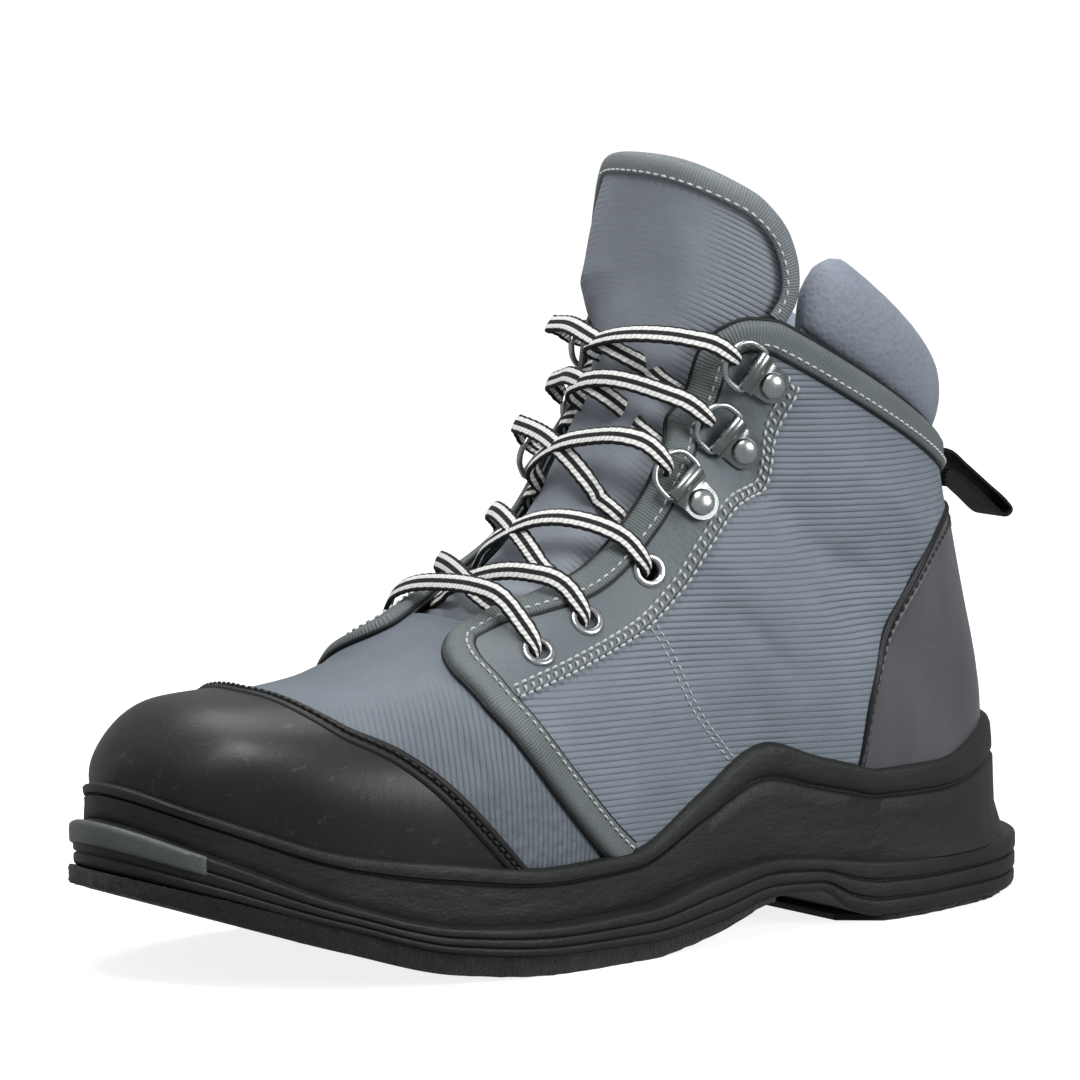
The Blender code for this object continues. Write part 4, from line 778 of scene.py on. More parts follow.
class Weave:
    """Builds one procedural material: nodes are added by name and joined by their sockets."""

    def __init__(self, name, colour, roughness, metallic=0.0):
        self.look = bpy.data.materials.new(name)
        self.look.use_nodes = True
        self.tree = self.look.node_tree
        self.shader = self.tree.nodes["Principled BSDF"]
        self.shader.inputs["Base Color"].default_value = (*linear(colour), 1.0)
        self.shader.inputs["Roughness"].default_value = roughness
        self.shader.inputs["Metallic"].default_value = metallic
        self.shader.inputs["Specular IOR Level"].default_value = 0.35
        self.height = None
        self.colour = None

    def node(self, kind, **values):
        made = self.tree.nodes.new(kind)
        for key, value in values.items():
            if hasattr(made, key):
                setattr(made, key, value)
            else:
                made.inputs[key.replace("_", " ")].default_value = value
        return made

    def join(self, source, target):
        self.tree.links.new(source, target)

    def place(self, uv=False):
        """Where a point is: on the cloth in metres, or in the boot's frame."""
        node = self.node("ShaderNodeTexCoord")
        return node.outputs["UV" if uv else "Object"]

    def sum(self, kind, first, second, clamp=False):
        made = self.node("ShaderNodeMath", operation=kind, use_clamp=clamp)
        for socket, value in zip(made.inputs, (first, second)):
            if isinstance(value, (int, float)):
                socket.default_value = value
            else:
                self.join(value, socket)
        return made.outputs[0]

    def noise(self, scale, detail=3.0, rough=0.55, stretch=(1, 1, 1), uv=False):
        spread = self.node("ShaderNodeVectorMath", operation="MULTIPLY")
        self.join(self.place(uv), spread.inputs[0])
        spread.inputs[1].default_value = stretch
        made = self.node("ShaderNodeTexNoise", Scale=scale, Detail=detail, Roughness=rough)
        self.join(spread.outputs[0], made.inputs["Vector"])
        return made.outputs["Fac"]

    def ramp(self, value, *stops):
        """Maps a value through (place, level) stops."""
        made = self.node("ShaderNodeMapRange", clamp=True)
        self.join(value, made.inputs["Value"])
        for key, number in zip(("From Min", "From Max", "To Min", "To Max"), stops):
            made.inputs[key].default_value = number
        return made.outputs["Result"]

    def ribs(self, direction, period, wander=0.15, uv=False, sharpness=1.0):
        """Rounded cords with narrow gaps, 0 in a gap and 1 on a cord."""
        dot = self.node("ShaderNodeVectorMath", operation="DOT_PRODUCT")
        self.join(self.place(uv), dot.inputs[0])
        dot.inputs[1].default_value = direction
        phase = self.sum("MULTIPLY", dot.outputs["Value"], math.pi / period)
        drift = self.sum("MULTIPLY", self.noise(90.0, 2.0), wander * 2 * math.pi)
        wave = self.sum("ABSOLUTE", self.sum("SINE", self.sum("ADD", phase, drift), 0.0), 0.0)
        return self.sum("POWER", wave, sharpness)

    def tint(self, value, low, high, amount=1.0):
        """Blends the colour so far towards a pair of colours that the value chooses between."""
        pair = self.node("ShaderNodeMix", data_type="RGBA")
        self.join(value, pair.inputs[0])
        pair.inputs[6].default_value = (*linear(low), 1.0)
        pair.inputs[7].default_value = (*linear(high), 1.0)
        if self.colour is None:
            self.colour = pair.outputs[2]
            return
        blend = self.node("ShaderNodeMix", data_type="RGBA")
        blend.inputs[0].default_value = amount
        self.join(self.colour, blend.inputs[6])
        self.join(pair.outputs[2], blend.inputs[7])
        self.colour = blend.outputs[2]

    def shade(self, value, darkest):
        """Multiplies the colour by a grey from darkest, at 0, to white, at 1. Every caller passes its bump's
        pattern, so this paints shade into the low places.
        """
        grey = self.ramp(value, 0.0, 1.0, darkest, 1.0)
        blend = self.node("ShaderNodeMix", data_type="RGBA", blend_type="MULTIPLY")
        blend.inputs[0].default_value = 1.0
        self.join(self.colour, blend.inputs[6])
        self.join(grey, blend.inputs[7])
        self.colour = blend.outputs[2]

    def paint(self, mask, colour):
        """Paints a colour where the mask is 1."""
        blend = self.node("ShaderNodeMix", data_type="RGBA")
        self.join(mask, blend.inputs[0])
        self.join(self.colour, blend.inputs[6])
        blend.inputs[7].default_value = (*linear(colour), 1.0)
        self.colour = blend.outputs[2]

    def raise_by(self, value, depth):
        """Adds to the bump, in metres."""
        part = self.sum("MULTIPLY", value, depth)
        self.height = part if self.height is None else self.sum("ADD", self.height, part)

    def gloss(self, value, low, high):
        """Roughness from low to high as the value goes from 0 to 1."""
        self.join(self.ramp(value, 0.0, 1.0, low, high), self.shader.inputs["Roughness"])

    def done(self, strength=1.0):
        if self.colour is not None:
            self.join(self.colour, self.shader.inputs["Base Color"])
        if self.height is not None:
            bump = self.node("ShaderNodeBump", Strength=strength, Distance=1.0)
            self.join(self.height, bump.inputs["Height"])
            self.join(bump.outputs["Normal"], self.shader.inputs["Normal"])
        return self.look


def linear(colour):
    """A colour in display values from 0 to 255 as linear light."""
    return tuple((c / 255 / 12.92) if c <= 10 else ((c / 255 + 0.055) / 1.055) ** 2.4 for c in colour)


def ribbed_cloth(name, low, high, direction, period=0.00185, fade=None, crinkle=None, uv=False,
                 depth=0.00034):
    """Corded cloth: rounded cords, gaps darkened with painted shade, a fine weave and uneven tone."""
    cloth = Weave(name, high, 0.62)
    cloth.tint(cloth.noise(34.0, 4.0), low, high)
    cords = cloth.ribs(direction, period, 0.07, uv=uv, sharpness=0.42)
    strength = cloth.ramp(cloth.noise(30.0, 2.0), 0.35, 0.62, 0.55, 1.0)
    if fade:
        side = cloth.node("ShaderNodeAttribute", attribute_name="girth").outputs["Fac"]
        side = cloth.sum("ABSOLUTE", side, 0.0)
        strength = cloth.sum("MULTIPLY", strength, cloth.ramp(side, fade[0], fade[1], 0.06, 1.0))
    flat = cloth.sum("SUBTRACT", 1.0, strength)
    shown = cloth.sum("ADD", cloth.sum("MULTIPLY", cords, strength), flat)
    # Painted shade: the colour darkens in the gaps between the cords, where the bump is low.
    cloth.shade(shown, 0.44)
    cloth.raise_by(shown, depth)
    cloth.raise_by(cloth.noise(1500.0, 2.0), 0.00010)
    cloth.raise_by(cloth.noise(70.0, 4.0), 0.0006)
    if crinkle:
        cells = cloth.node("ShaderNodeTexVoronoi", feature="SMOOTH_F1", Scale=crinkle)
        cloth.join(cloth.place(), cells.inputs["Vector"])
        side = cloth.node("ShaderNodeAttribute", attribute_name="girth").outputs["Fac"]
        near = cloth.ramp(cloth.sum("ABSOLUTE", side, 0.0), 0.55, 0.85, 0.0, 1.0)
        cloth.raise_by(cloth.sum("MULTIPLY", cells.outputs["Distance"], near), 0.0006)
    cloth.gloss(cloth.noise(160.0, 2.0), 0.50, 0.68)
    cloth.shader.inputs["Specular IOR Level"].default_value = 0.35
    return cloth.done()


def smooth_cloth(name, low, high, grain=900.0, depth=0.00010, roughness=(0.42, 0.6)):
    """Coated cloth with a fine pebbled grain, its dimples darkened with painted shade."""
    cloth = Weave(name, high, roughness[1])
    cloth.tint(cloth.noise(28.0, 4.0), low, high)
    cells = cloth.node("ShaderNodeTexVoronoi", feature="SMOOTH_F1", Scale=grain)
    cloth.join(cloth.place(), cells.inputs["Vector"])
    cloth.raise_by(cells.outputs["Distance"], depth)
    cloth.raise_by(cloth.noise(grain / 6, 3.0), depth * 2)
    # Painted shade: the colour darkens in the grain's dimples, where the bump is low.
    cloth.shade(cloth.ramp(cells.outputs["Distance"], 0.0, 0.6, 0.0, 1.0), 0.90)
    cloth.gloss(cloth.noise(90.0, 3.0), *roughness)
    return cloth.done()


def tape_cloth(name, low, high, period=0.0009, across=0.00016, roughness=0.7):
    """Woven tape: cords across its run, which UV's second value follows in metres."""
    cloth = Weave(name, high, roughness)
    cloth.tint(cloth.noise(60.0, 3.0), low, high)
    cords = cloth.ribs((0, 1, 0), period, 0.03, uv=True)
    # Painted shade: the colour darkens in the gaps between the cords, where the bump is low.
    cloth.shade(cords, 0.72)
    cloth.raise_by(cords, across)
    cloth.raise_by(cloth.noise(1400.0, 2.0), 0.0001)
    cloth.gloss(cloth.noise(140.0), roughness - 0.12, roughness)
    return cloth.done()


def coated(name, low, high, roughness, coat=0.0, grain=1400.0, streak=(1, 1, 0.2)):
    """Smooth coated leather: faint grain, long soft streaks and an uneven gloss."""
    hide = Weave(name, high, roughness[1])
    hide.tint(hide.noise(30.0, 4.0, stretch=streak), low, high)
    hide.raise_by(hide.noise(grain, 3.0), 0.00005)
    hide.raise_by(hide.noise(120.0, 4.0, stretch=streak), 0.00016)
    scuffs = hide.ramp(hide.noise(230.0, 6.0, 0.7, (1.6, 0.5, 1.0)), 0.60, 0.74, 0.0, 0.22)
    hide.paint(scuffs, (112, 114, 118))
    hide.gloss(hide.noise(50.0, 5.0), *roughness)
    hide.shader.inputs["Specular IOR Level"].default_value = 0.34
    hide.shader.inputs["Coat Weight"].default_value = coat
    hide.shader.inputs["Coat Roughness"].default_value = 0.28
    return hide.done()


def moulded_rubber(name, low, high, roughness=(0.42, 0.66)):
    """Matt moulded rubber with fine pitting, patches of dust and an uneven gloss."""
    rubber = Weave(name, high, roughness[1])
    rubber.tint(rubber.noise(70.0, 5.0), low, high)
    rubber.raise_by(rubber.noise(900.0, 4.0), 0.00016)
    rubber.raise_by(rubber.noise(160.0, 5.0, stretch=(0.6, 0.6, 1.6)), 0.0005)
    dust = rubber.ramp(rubber.noise(300.0, 6.0, 0.75), 0.62, 0.80, 0.0, 0.30)
    rubber.paint(dust, (70, 72, 70))
    rubber.gloss(rubber.noise(110.0, 4.0), *roughness)
    return rubber.done()


def needled_felt(name):
    """Dark needled felt, fibrous and dull."""
    felt = Weave(name, (24, 24, 23), 0.95)
    felt.tint(felt.noise(900.0, 5.0, 0.8), (2, 2, 2), (16, 16, 15))
    felt.raise_by(felt.noise(700.0, 5.0, 0.8), 0.0009)
    felt.raise_by(felt.noise(2400.0, 2.0), 0.0004)
    felt.shader.inputs["Sheen Weight"].default_value = 0.2
    return felt.done()


def plain_metal(name, low, high):
    """Nickelled metal with fine scratches and smudges."""
    metal = Weave(name, high, 0.25, 1.0)
    metal.tint(metal.noise(260.0, 4.0), low, high)
    metal.raise_by(metal.noise(700.0, 3.0, stretch=(0.3, 1.0, 3.0)), 0.00003)
    metal.gloss(metal.noise(420.0, 4.0), 0.16, 0.38)
    return metal.done()


def striped_lace(name):
    """Black flat lace with two light stripes on each face and a plaited surface."""
    lace = Weave(name, (20, 20, 22), 0.75)
    lace.tint(lace.noise(700.0, 3.0), (14, 14, 15), (30, 30, 33))
    across = lace.node("ShaderNodeSeparateXYZ")
    lace.join(lace.place(uv=True), across.inputs[0])
    turn, run = across.outputs[0], across.outputs[1]
    across_width = lace.sum("ABSOLUTE", lace.sum("COSINE", lace.sum("MULTIPLY", turn, 2 * math.pi), 0.0), 0.0)
    off = lace.sum("ABSOLUTE", lace.sum("SUBTRACT", across_width, 0.50), 0.0)
    stripe = lace.ramp(off, 0.20, 0.27, 1.0, 0.0)
    plait = lace.sum("SINE", lace.sum("ADD", lace.sum("MULTIPLY", run, 2 * math.pi / 0.0017),
                                      lace.sum("MULTIPLY", turn, 8 * math.pi)), 0.0)
    plait = lace.ramp(plait, -1.0, 1.0, 0.0, 1.0)
    lace.paint(stripe, (236, 236, 232))
    # Painted shade: the colour darkens in the plait's grooves, where the bump is low.
    lace.shade(plait, 0.72)
    lace.raise_by(plait, 0.00022)
    return lace.done()


def thread(name, low, high, roughness=0.6):
    """Twisted sewing thread."""
    yarn = Weave(name, high, roughness)
    yarn.tint(yarn.noise(800.0, 2.0), low, high)
    yarn.raise_by(yarn.noise(2500.0, 2.0), 0.0001)
    return yarn.done()


def open_mesh(name):
    """Dark spacer mesh for the inside."""
    mesh = Weave(name, (58, 60, 64), 0.85)
    mesh.tint(mesh.noise(60.0, 3.0), (44, 46, 50), (66, 68, 73))
    cells = mesh.node("ShaderNodeTexVoronoi", Scale=420.0)
    mesh.join(mesh.place(), cells.inputs["Vector"])
    dots = mesh.ramp(cells.outputs["Distance"], 0.15, 0.5, 0.0, 1.0)
    # Painted shade: the colour darkens in the mesh's holes, where the bump is low.
    mesh.shade(dots, 0.55)
    mesh.raise_by(dots, 0.0004)
    return mesh.done()


def step_grid(t_values, g_rows):
    """Stations down the rows and girths along them, for panel()."""
    g = np.asarray(g_rows, float)
    return np.broadcast_to(np.asarray(t_values, float)[:, None], g.shape), g


def throat_line(t):
    """The throat's edge as panels follow it."""
    rows = np.array(QUARTER_EDGE[THROAT_ROWS])
    return np.interp(t, rows[:, 0], rows[:, 1])


def hole_mask(points, radius):
    """True for places outside every eyelet's hole."""
    clear = np.ones(points.shape[:2], bool)
    for side in (1, -1):
        for t, g in EYELETS:
            spot = LAST.at(t, g * side)
            clear &= np.linalg.norm(points - spot, axis=-1) > radius
    return clear


QUARTER_INSET = 0.0014  # the quarter's cloth ends under the tape
HOLE_RADIUS = 0.0036


def build_vamp(look):
    """The vamp's cloth, from under the toe cap to the throat."""
    t = np.concatenate([np.linspace(0, 1, 14)[:-1], np.linspace(1, 7.0, 120)])
    g = np.linspace(-1, 1, 221)
    grid_t, grid_g = np.meshgrid(t, g, indexing="ij")
    open_from = np.where(grid_t > VAMP_EDGE, throat_line(grid_t) + 0.01, 0.0)
    panel("vamp_cloth", grid_t, grid_g, *VAMP_SKIN, look,
          keep=lambda a, b, spots: np.abs(b) >= open_from, replaces=("upper",))


# Lower and upper face of each cloth over the last's surface, in metres
VAMP_SKIN = (-0.0012, -0.0002)
LINING_SKIN = (-0.0022, -0.0013)
QUARTER_SKIN = (-0.0012, 0.0009)
STAY_SKIN = (0.0006, 0.0017)
CAP_SKIN = (0.0001, 0.0017)


def build_lining(look):
    """The dark lining inside the whole upper."""
    t = np.concatenate([np.linspace(0, 1, 10)[:-1], np.linspace(1, 14.0, 110)])
    g = np.linspace(-1, 1, 121)
    grid_t, grid_g = np.meshgrid(t, g, indexing="ij")
    open_from = np.where(grid_t > VAMP_EDGE, throat_line(grid_t) + 0.012, 0.0)

    def keep(a, b, spots):
        return (np.abs(b) >= open_from) & hole_mask(spots, HOLE_RADIUS)

    panel("lining", grid_t, grid_g, *LINING_SKIN, look, keep=keep)


def edge_limit():
    """Where the quarter's cloth begins, below the vamp line and beside the throat, for each station."""
    path = smooth_path(QUARTER_EDGE, 500)
    return beside(path, QUARTER_INSET)


def inside_loop(t, g, loop):
    """True for places inside a closed loop of (station, girth)."""
    hit = np.zeros(t.shape, bool)
    for (t0, g0), (t1, g1) in zip(loop, np.roll(loop, -1, axis=0)):
        if g0 == g1:
            continue
        crosses = (g0 > g) != (g1 > g)
        with np.errstate(divide="ignore", invalid="ignore"):
            place = t0 + (g - g0) * (t1 - t0) / (g1 - g0)
        hit ^= crosses & (t < place)
    return hit


def build_quarters(look):
    """Both quarters in one sheet that runs round the heel."""
    t = np.linspace(4.9, 14.0, 224)
    side = np.linspace(0.10, 1, 174)
    loop = np.concatenate([edge_limit(), [(14.0, 1.2), (6.0, 1.2)]])
    shapes = []
    for sign, label in ((1, "outer"), (-1, "inner")):
        grid_t, grid_g = np.meshgrid(t, side if sign > 0 else -side[::-1], indexing="ij")

        def keep(a, b, spots):
            return inside_loop(a, np.abs(b), loop) & hole_mask(spots, HOLE_RADIUS)

        shapes.append(panel(f"quarter_cloth_{label}", grid_t, grid_g, *QUARTER_SKIN, look, keep=keep))
    return shapes


TAPE_SECTION = ((-0.0016, -0.0008), (-0.0016, 0.0012), (-0.0008, 0.0024), (0.0004, 0.0030), (0.0022, 0.0028),
                (0.0042, 0.0027), (0.0058, 0.0027), (0.0066, 0.0025), (0.0070, 0.0019), (0.0070, 0.0004))
TAPE_FOOT = ((6.14, 0.955),)  # the tape runs on down behind the rand


def build_tape(look, dark):
    """The tape over the quarters' free edges, its dark edge line and its stitches."""
    outer = smooth_path(TAPE_FOOT + QUARTER_EDGE, 630)
    path = np.concatenate([outer, mirrored(outer)[::-1][1:]])
    spots = LAST.at(path[:, 0], path[:, 1])
    normals = LAST.normal(path[:, 0], path[:, 1])
    ahead = np.gradient(spots, axis=0)
    ahead /= np.linalg.norm(ahead, axis=1, keepdims=True)
    inwards = np.cross(ahead, normals)
    inwards /= np.linalg.norm(inwards, axis=1, keepdims=True)
    middle = LAST.at(9.0, 0.6) - spots[len(outer) // 2]
    if np.dot(inwards[len(outer) // 2], middle) < 0:
        inwards = -inwards
    inwards = smoothed(inwards, 8)
    normals = smoothed(normals, 6)
    press = creased(path[:, 0], path[:, 1])
    rings = []
    for across, up in TAPE_SECTION:
        rings.append(spots + inwards * across + normals * (press + up)[:, None])
    swept("edge_tape", np.array(rings).transpose(1, 0, 2), look, replaces=("edge_binding",))
    lines = (("tape_inner_line", 0.0073, 0.0013, 0.00045), ("tape_outer_line", -0.0019, 0.0006, 0.0007))
    for name, across, up, radius in lines:
        line = spots + inwards * across + normals * (press + up)[:, None]
        swept(name, tube_rings(line, radius, 8, up=normals), dark)
    row = spots + inwards * 0.0052 + normals * (press + 0.0028)[:, None]
    return [(row, normals)]


def smoothed(rows, rounds):
    """Rows averaged with their neighbours along a path."""
    rows = rows.copy()
    for _ in range(rounds):
        rows[1:-1] = (rows[:-2] + 2 * rows[1:-1] + rows[2:]) / 4
    size = np.linalg.norm(rows, axis=1, keepdims=True)
    return rows / np.maximum(size, 1e-9)


STAY_END = 13.36


def stay_edges(t):
    """Girths of the eyestay's edge beside the tape and of its seam."""
    near = throat_line(t) + (TAPE_WIDTH - 0.0006) / LAST.length(t)
    rows = smooth_seam()
    far = np.interp(t, rows[:, 0], rows[:, 1])
    return near, np.maximum(far, near + 0.002 / LAST.length(t))


def smooth_seam():
    places = Track(np.arange(len(EYESTAY_SEAM)), np.array(EYESTAY_SEAM))
    return places.at(np.linspace(0, len(EYESTAY_SEAM) - 1, 120))


def build_eyestays(look):
    """The smooth panels that carry the eyelets and rings."""
    t = np.linspace(5.30, STAY_END, 260)
    near, far = stay_edges(t)
    for sign, label in ((1, "outer"), (-1, "inner")):
        spread = np.linspace(0, 1, 44)
        g = (near[:, None] + (far - near)[:, None] * spread) * sign
        grid_t, grid_g = step_grid(t, g if sign > 0 else g[:, ::-1])

        def keep(a, b, spots):
            return hole_mask(spots, HOLE_RADIUS)

        panel(f"eyestay_cloth_{label}", grid_t, grid_g, *STAY_SKIN, look, keep=keep,
              replaces=(f"eyestay_{label}",))


def cap_edge(girths):
    """The station of the toe cap's back edge at girths."""
    rows = np.array(CAP_EDGE)
    return Track(rows[:, 0], rows[:, 1:]).at(np.abs(girths))[..., 0]


def build_toe_cap(look, piping_look):
    """The hard cap, its rolled double seam and its stitches."""
    share = np.concatenate([np.linspace(0, 0.06, 8)[:-1] , np.linspace(0.06, 1, 90)])
    columns = np.linspace(-1, 1, 201)
    grid_share, grid_g = np.meshgrid(share, columns, indexing="ij")
    grid_t = grid_share * cap_edge(grid_g)
    panel("cap_shell", grid_t, grid_g, *CAP_SKIN, look, replaces=("toe_cap",))
    girths = np.linspace(-1, 1, 500)
    edge = cap_edge(girths)
    places = np.stack([edge, girths], -1)
    rolls = []
    for back, radius, lift in ((0.0006, 0.0015, 0.0012), (-0.0024, 0.0012, 0.0014)):
        line = beside(places, back)
        spots, normals = over_cloth(line, lift)
        rolls.append((spots, normals, radius))
        swept(f"cap_roll_{len(rolls)}", tube_rings(spots, radius, 12, 0.85, normals), piping_look)
    return [over_cloth(beside(places, -0.0009), 0.0026)]


COUNTER_FOOT = ((0.2405, 0.290), (0.2415, 0.240), (0.2420, 0.200))  # its front edge runs on down to the rand


def counter_wall(tree):
    """The counter's places, from below the rand's top up to its edge, round the heel."""
    size = np.array((LAST_LENGTH, COLLAR_HEIGHT))
    inner = [(-fore, rise) for fore, rise in COUNTER_EDGE[:0:-1]]
    rows = np.array(inner + list(COUNTER_EDGE) + list(COUNTER_FOOT))
    rows = np.concatenate([[(-fore, rise) for fore, rise in COUNTER_FOOT[::-1]], rows])
    curve = smoothed_points(spline(rows * size, 150), 50) / size
    shares = np.abs(curve[:, 0])
    swing, half = plan_at(shares)
    side = np.sign(curve[:, 0])
    out = np.stack([swing + side * half, -shares * LAST_LENGTH], -1)
    ahead = np.gradient(out, axis=0)
    normals = np.stack([ahead[:, 1], -ahead[:, 0]], -1)
    size = np.linalg.norm(normals, axis=1, keepdims=True)
    normals /= np.maximum(size, 1e-9)
    heel = len(out) // 2
    if normals[heel, 1] < 0:
        normals = -normals
    for _ in range(12):
        normals[1:-1] = (normals[:-2] + 2 * normals[1:-1] + normals[2:]) / 4
    normals /= np.linalg.norm(normals, axis=1, keepdims=True)
    grid_rows = []
    for v in np.linspace(0, 1, 46):
        row = []
        for (share, rise), point, normal in zip(curve, out, normals):
            high = rise * COLLAR_HEIGHT
            low = min(float(sole_at(abs(share), "rand")) - 0.003, high - 0.0002)
            height = low + (high - low) * v
            start = point + SHIFT[:2]
            away = Vector((*(start + normal * BALL_WIDTH), height))
            found, _, _, _ = tree.ray_cast(away, Vector((*(-normal), 0.0)))
            row.append(np.array(found) if found is not None else np.array((*start, height)))
        grid_rows.append(row)
    return np.array(grid_rows)


def last_tree():
    rows, columns = LAST.points.shape[:2]
    return BVHTree.FromPolygons(LAST.points.reshape(-1, 3).tolist(), quads(rows, columns).tolist())


def build_counter(look, piping_look, tree):
    """The stiff cap round the heel with its piped edge."""
    spots = counter_wall(tree)
    for _ in range(14):
        spots[:, 1:-1] = (spots[:, :-2] + 2 * spots[:, 1:-1] + spots[:, 2:]) / 4
        spots[1:-1] = (spots[:-2] + 2 * spots[1:-1] + spots[2:]) / 4
    across = np.gradient(spots, axis=1)
    along = np.gradient(spots, axis=0)
    normals = np.cross(across, along)
    normals /= np.linalg.norm(normals, axis=2, keepdims=True)
    heel = spots.shape[1] // 2
    if normals[20, heel, 1] < 0:
        normals = -normals
    rise = np.linspace(0, 1, spots.shape[0])[:, None, None]
    lift = 0.0019 - 0.0004 * np.clip((rise - 0.93) / 0.07, 0, 1)
    top = spots + normals * lift
    under = spots + normals * 0.0002
    rows, columns = top.shape[:2]
    faces = quads(rows, columns)
    count = rows * columns
    rim = rim_faces(faces, count)
    points = np.concatenate([top.reshape(-1, 3), under.reshape(-1, 3)])
    made = faces.tolist() + (faces[:, ::-1] + count).tolist() + rim
    make("counter_shell", points, made, look, replaces=("heel_counter",))
    edge, edge_normals = smoothed_points(spots[-1], 4), smoothed(normals[-1], 6)
    roll = edge + edge_normals * 0.0012
    swept("counter_roll", tube_rings(roll, 0.00115, 12, up=edge_normals), piping_look)
    ridge = smoothed_points(spots[-4], 8) + smoothed(normals[-4], 6) * 0.0016
    swept("counter_ridge", tube_rings(ridge[6:-6], 0.0008, 10, up=smoothed(normals[-4], 6)[6:-6]), look)
    stitch = smoothed_points(spots[-3], 8) + smoothed(normals[-3], 6) * 0.0020
    return [(stitch[6:-6], normals[-3, 6:-6])]


def rim_faces(faces, count):
    """Faces that close a sheet's border to its copy, count points further on."""
    edges = {}
    for face in np.asarray(faces).tolist():
        for a, b in zip(face, face[1:] + face[:1]):
            edges[(a, b)] = True
    return [(b, a, a + count, b + count) for a, b in edges if (b, a) not in edges]


def spline(points, count, closed=False):
    """A smooth curve through points, evenly spaced."""
    points = np.asarray(points, float)
    if closed:
        points = np.concatenate([points[-3:], points, points[:3]])
    keys = np.concatenate([[0.0], np.cumsum(np.sqrt(np.linalg.norm(np.diff(points, axis=0), axis=1)) + 1e-9)])
    slopes = np.zeros_like(points)
    steps = np.diff(keys)[:, None]
    rises = np.diff(points, axis=0) / steps
    slopes[1:-1] = (rises[:-1] * steps[1:] + rises[1:] * steps[:-1]) / (steps[:-1] + steps[1:])
    slopes[0], slopes[-1] = rises[0], rises[-1]
    low, high = (keys[3], keys[-3]) if closed else (keys[0], keys[-1])
    fine = np.linspace(low, high, 24 * len(points))
    i = np.clip(np.searchsorted(keys, fine, side="right") - 1, 0, len(keys) - 2)
    step = keys[i + 1] - keys[i]
    u = ((fine - keys[i]) / step)[:, None]
    step = step[:, None]
    square, cube = u * u, u * u * u
    curve = (points[i] * (2 * cube - 3 * square + 1) + slopes[i] * step * (cube - 2 * square + u)
             + points[i + 1] * (3 * square - 2 * cube) + slopes[i + 1] * step * (cube - square))
    travel = np.concatenate([[0.0], np.cumsum(np.linalg.norm(np.diff(curve, axis=0), axis=1))])
    spots = np.linspace(0, travel[-1], count + 1)[:-1] if closed else np.linspace(0, travel[-1], count)
    return np.stack([np.interp(spots, travel, curve[:, k]) for k in range(points.shape[1])], -1)


INNER_PAD_FRONT = 0.33  # on the inner side the roll reaches further forward


def build_collar(look):
    """The soft roll round the back of the collar."""
    share = np.concatenate([[0.0, 0.006, 0.016, 0.032, 0.055, 0.08, 0.11], np.linspace(0.14, 1, 58)])
    plump = np.interp(share, (0.0, 0.016, 0.05, 0.10, 0.16), (0.22, 0.48, 0.72, 0.90, 1.0))
    profile = spline(np.array(PAD_PROFILE) * (1.0, PAD_DEPTH / 0.012), 56, closed=True) * (1.0, 0.012)
    middle = profile.mean(axis=0)
    halves = []
    for front in (PAD_FRONT, INNER_PAD_FRONT):
        rings = []
        for number, (girth, size) in enumerate(zip(front + share * (1 - front), plump)):
            t, out = (middle + (profile - middle) * size).T
            gather = 1 + 0.03 * math.sin(number * 0.9) * math.sin(number * 0.23 + 0.6)
            rings.append(LAST.at(np.clip(t, 0, 15), np.full(len(t), girth), out * gather))
        halves.append(np.array(rings))
    rings, other = halves
    turned_over = other[::-1][1:].copy()
    fore = (SHIFT[1] - turned_over[..., 1]) / LAST_LENGTH
    swing = plan_at(np.clip(fore, 0, 1))[0] + SHIFT[0]
    turned_over[..., 0] = 2 * swing - turned_over[..., 0]
    rings = np.concatenate([rings, turned_over])
    piece = swept("collar_roll", rings, look, replaces=("collar_pad",))


def tongue_width(t):
    """The tongue's half width along the cloth."""
    taper = np.interp(t, *np.transpose(TONGUE_TAPER))
    top = np.maximum(0.0, (t - TONGUE_ROUND) / (COLLAR_TOP - TONGUE_ROUND))
    return TONGUE_HALF * taper * np.sqrt(1 - (0.80 * top) ** 4)


# How far the tongue's inner side stands off the ankle, by station, in metres
# Columns: station, off
TONGUE_FLARE = (
    (12.60, 0.0000),
    (13.50, 0.0060),
    (14.00, 0.0080),
    (14.40, 0.0045),
    (14.80, 0.0000),
    (15.00, -0.0020),
)
INNER_TOP = 0.70  # at its top, the inner half's width as a share of the outer half's
TONGUE_LEAN = 0.10  # how far its top leans to the outer side, as a share of its half width


def tongue_flare(t, across):
    """How far the tongue's inner side stands off the ankle at a place across it."""
    off = np.interp(t, *np.transpose(TONGUE_FLARE))
    return off * np.clip((-across - 0.05) / 0.75, 0, 1) ** 1.2


def narrowed(t, across):
    """The place across the tongue with its inner half drawn in towards the top."""
    share = 1 - (1 - INNER_TOP) * np.clip((t - 13.8) / 1.1, 0, 1)
    return np.where(across < 0, across * share, across) + TONGUE_LEAN * np.clip((t - 13.4) / 1.4, 0, 1)


def tongue_section(t, across):
    """Places of the tongue's middle layer and half its thickness."""
    share = tongue_width(t) / LAST.length(t)
    full = np.maximum(TONGUE_EDGE, np.interp(t, *np.transpose(TONGUE_DEPTH)) * TONGUE_THICK)
    half = full / 2 * np.sqrt(np.clip(1 - np.abs(across) ** 5, 0, 1))
    return narrowed(t, across) * share, full / 2, half


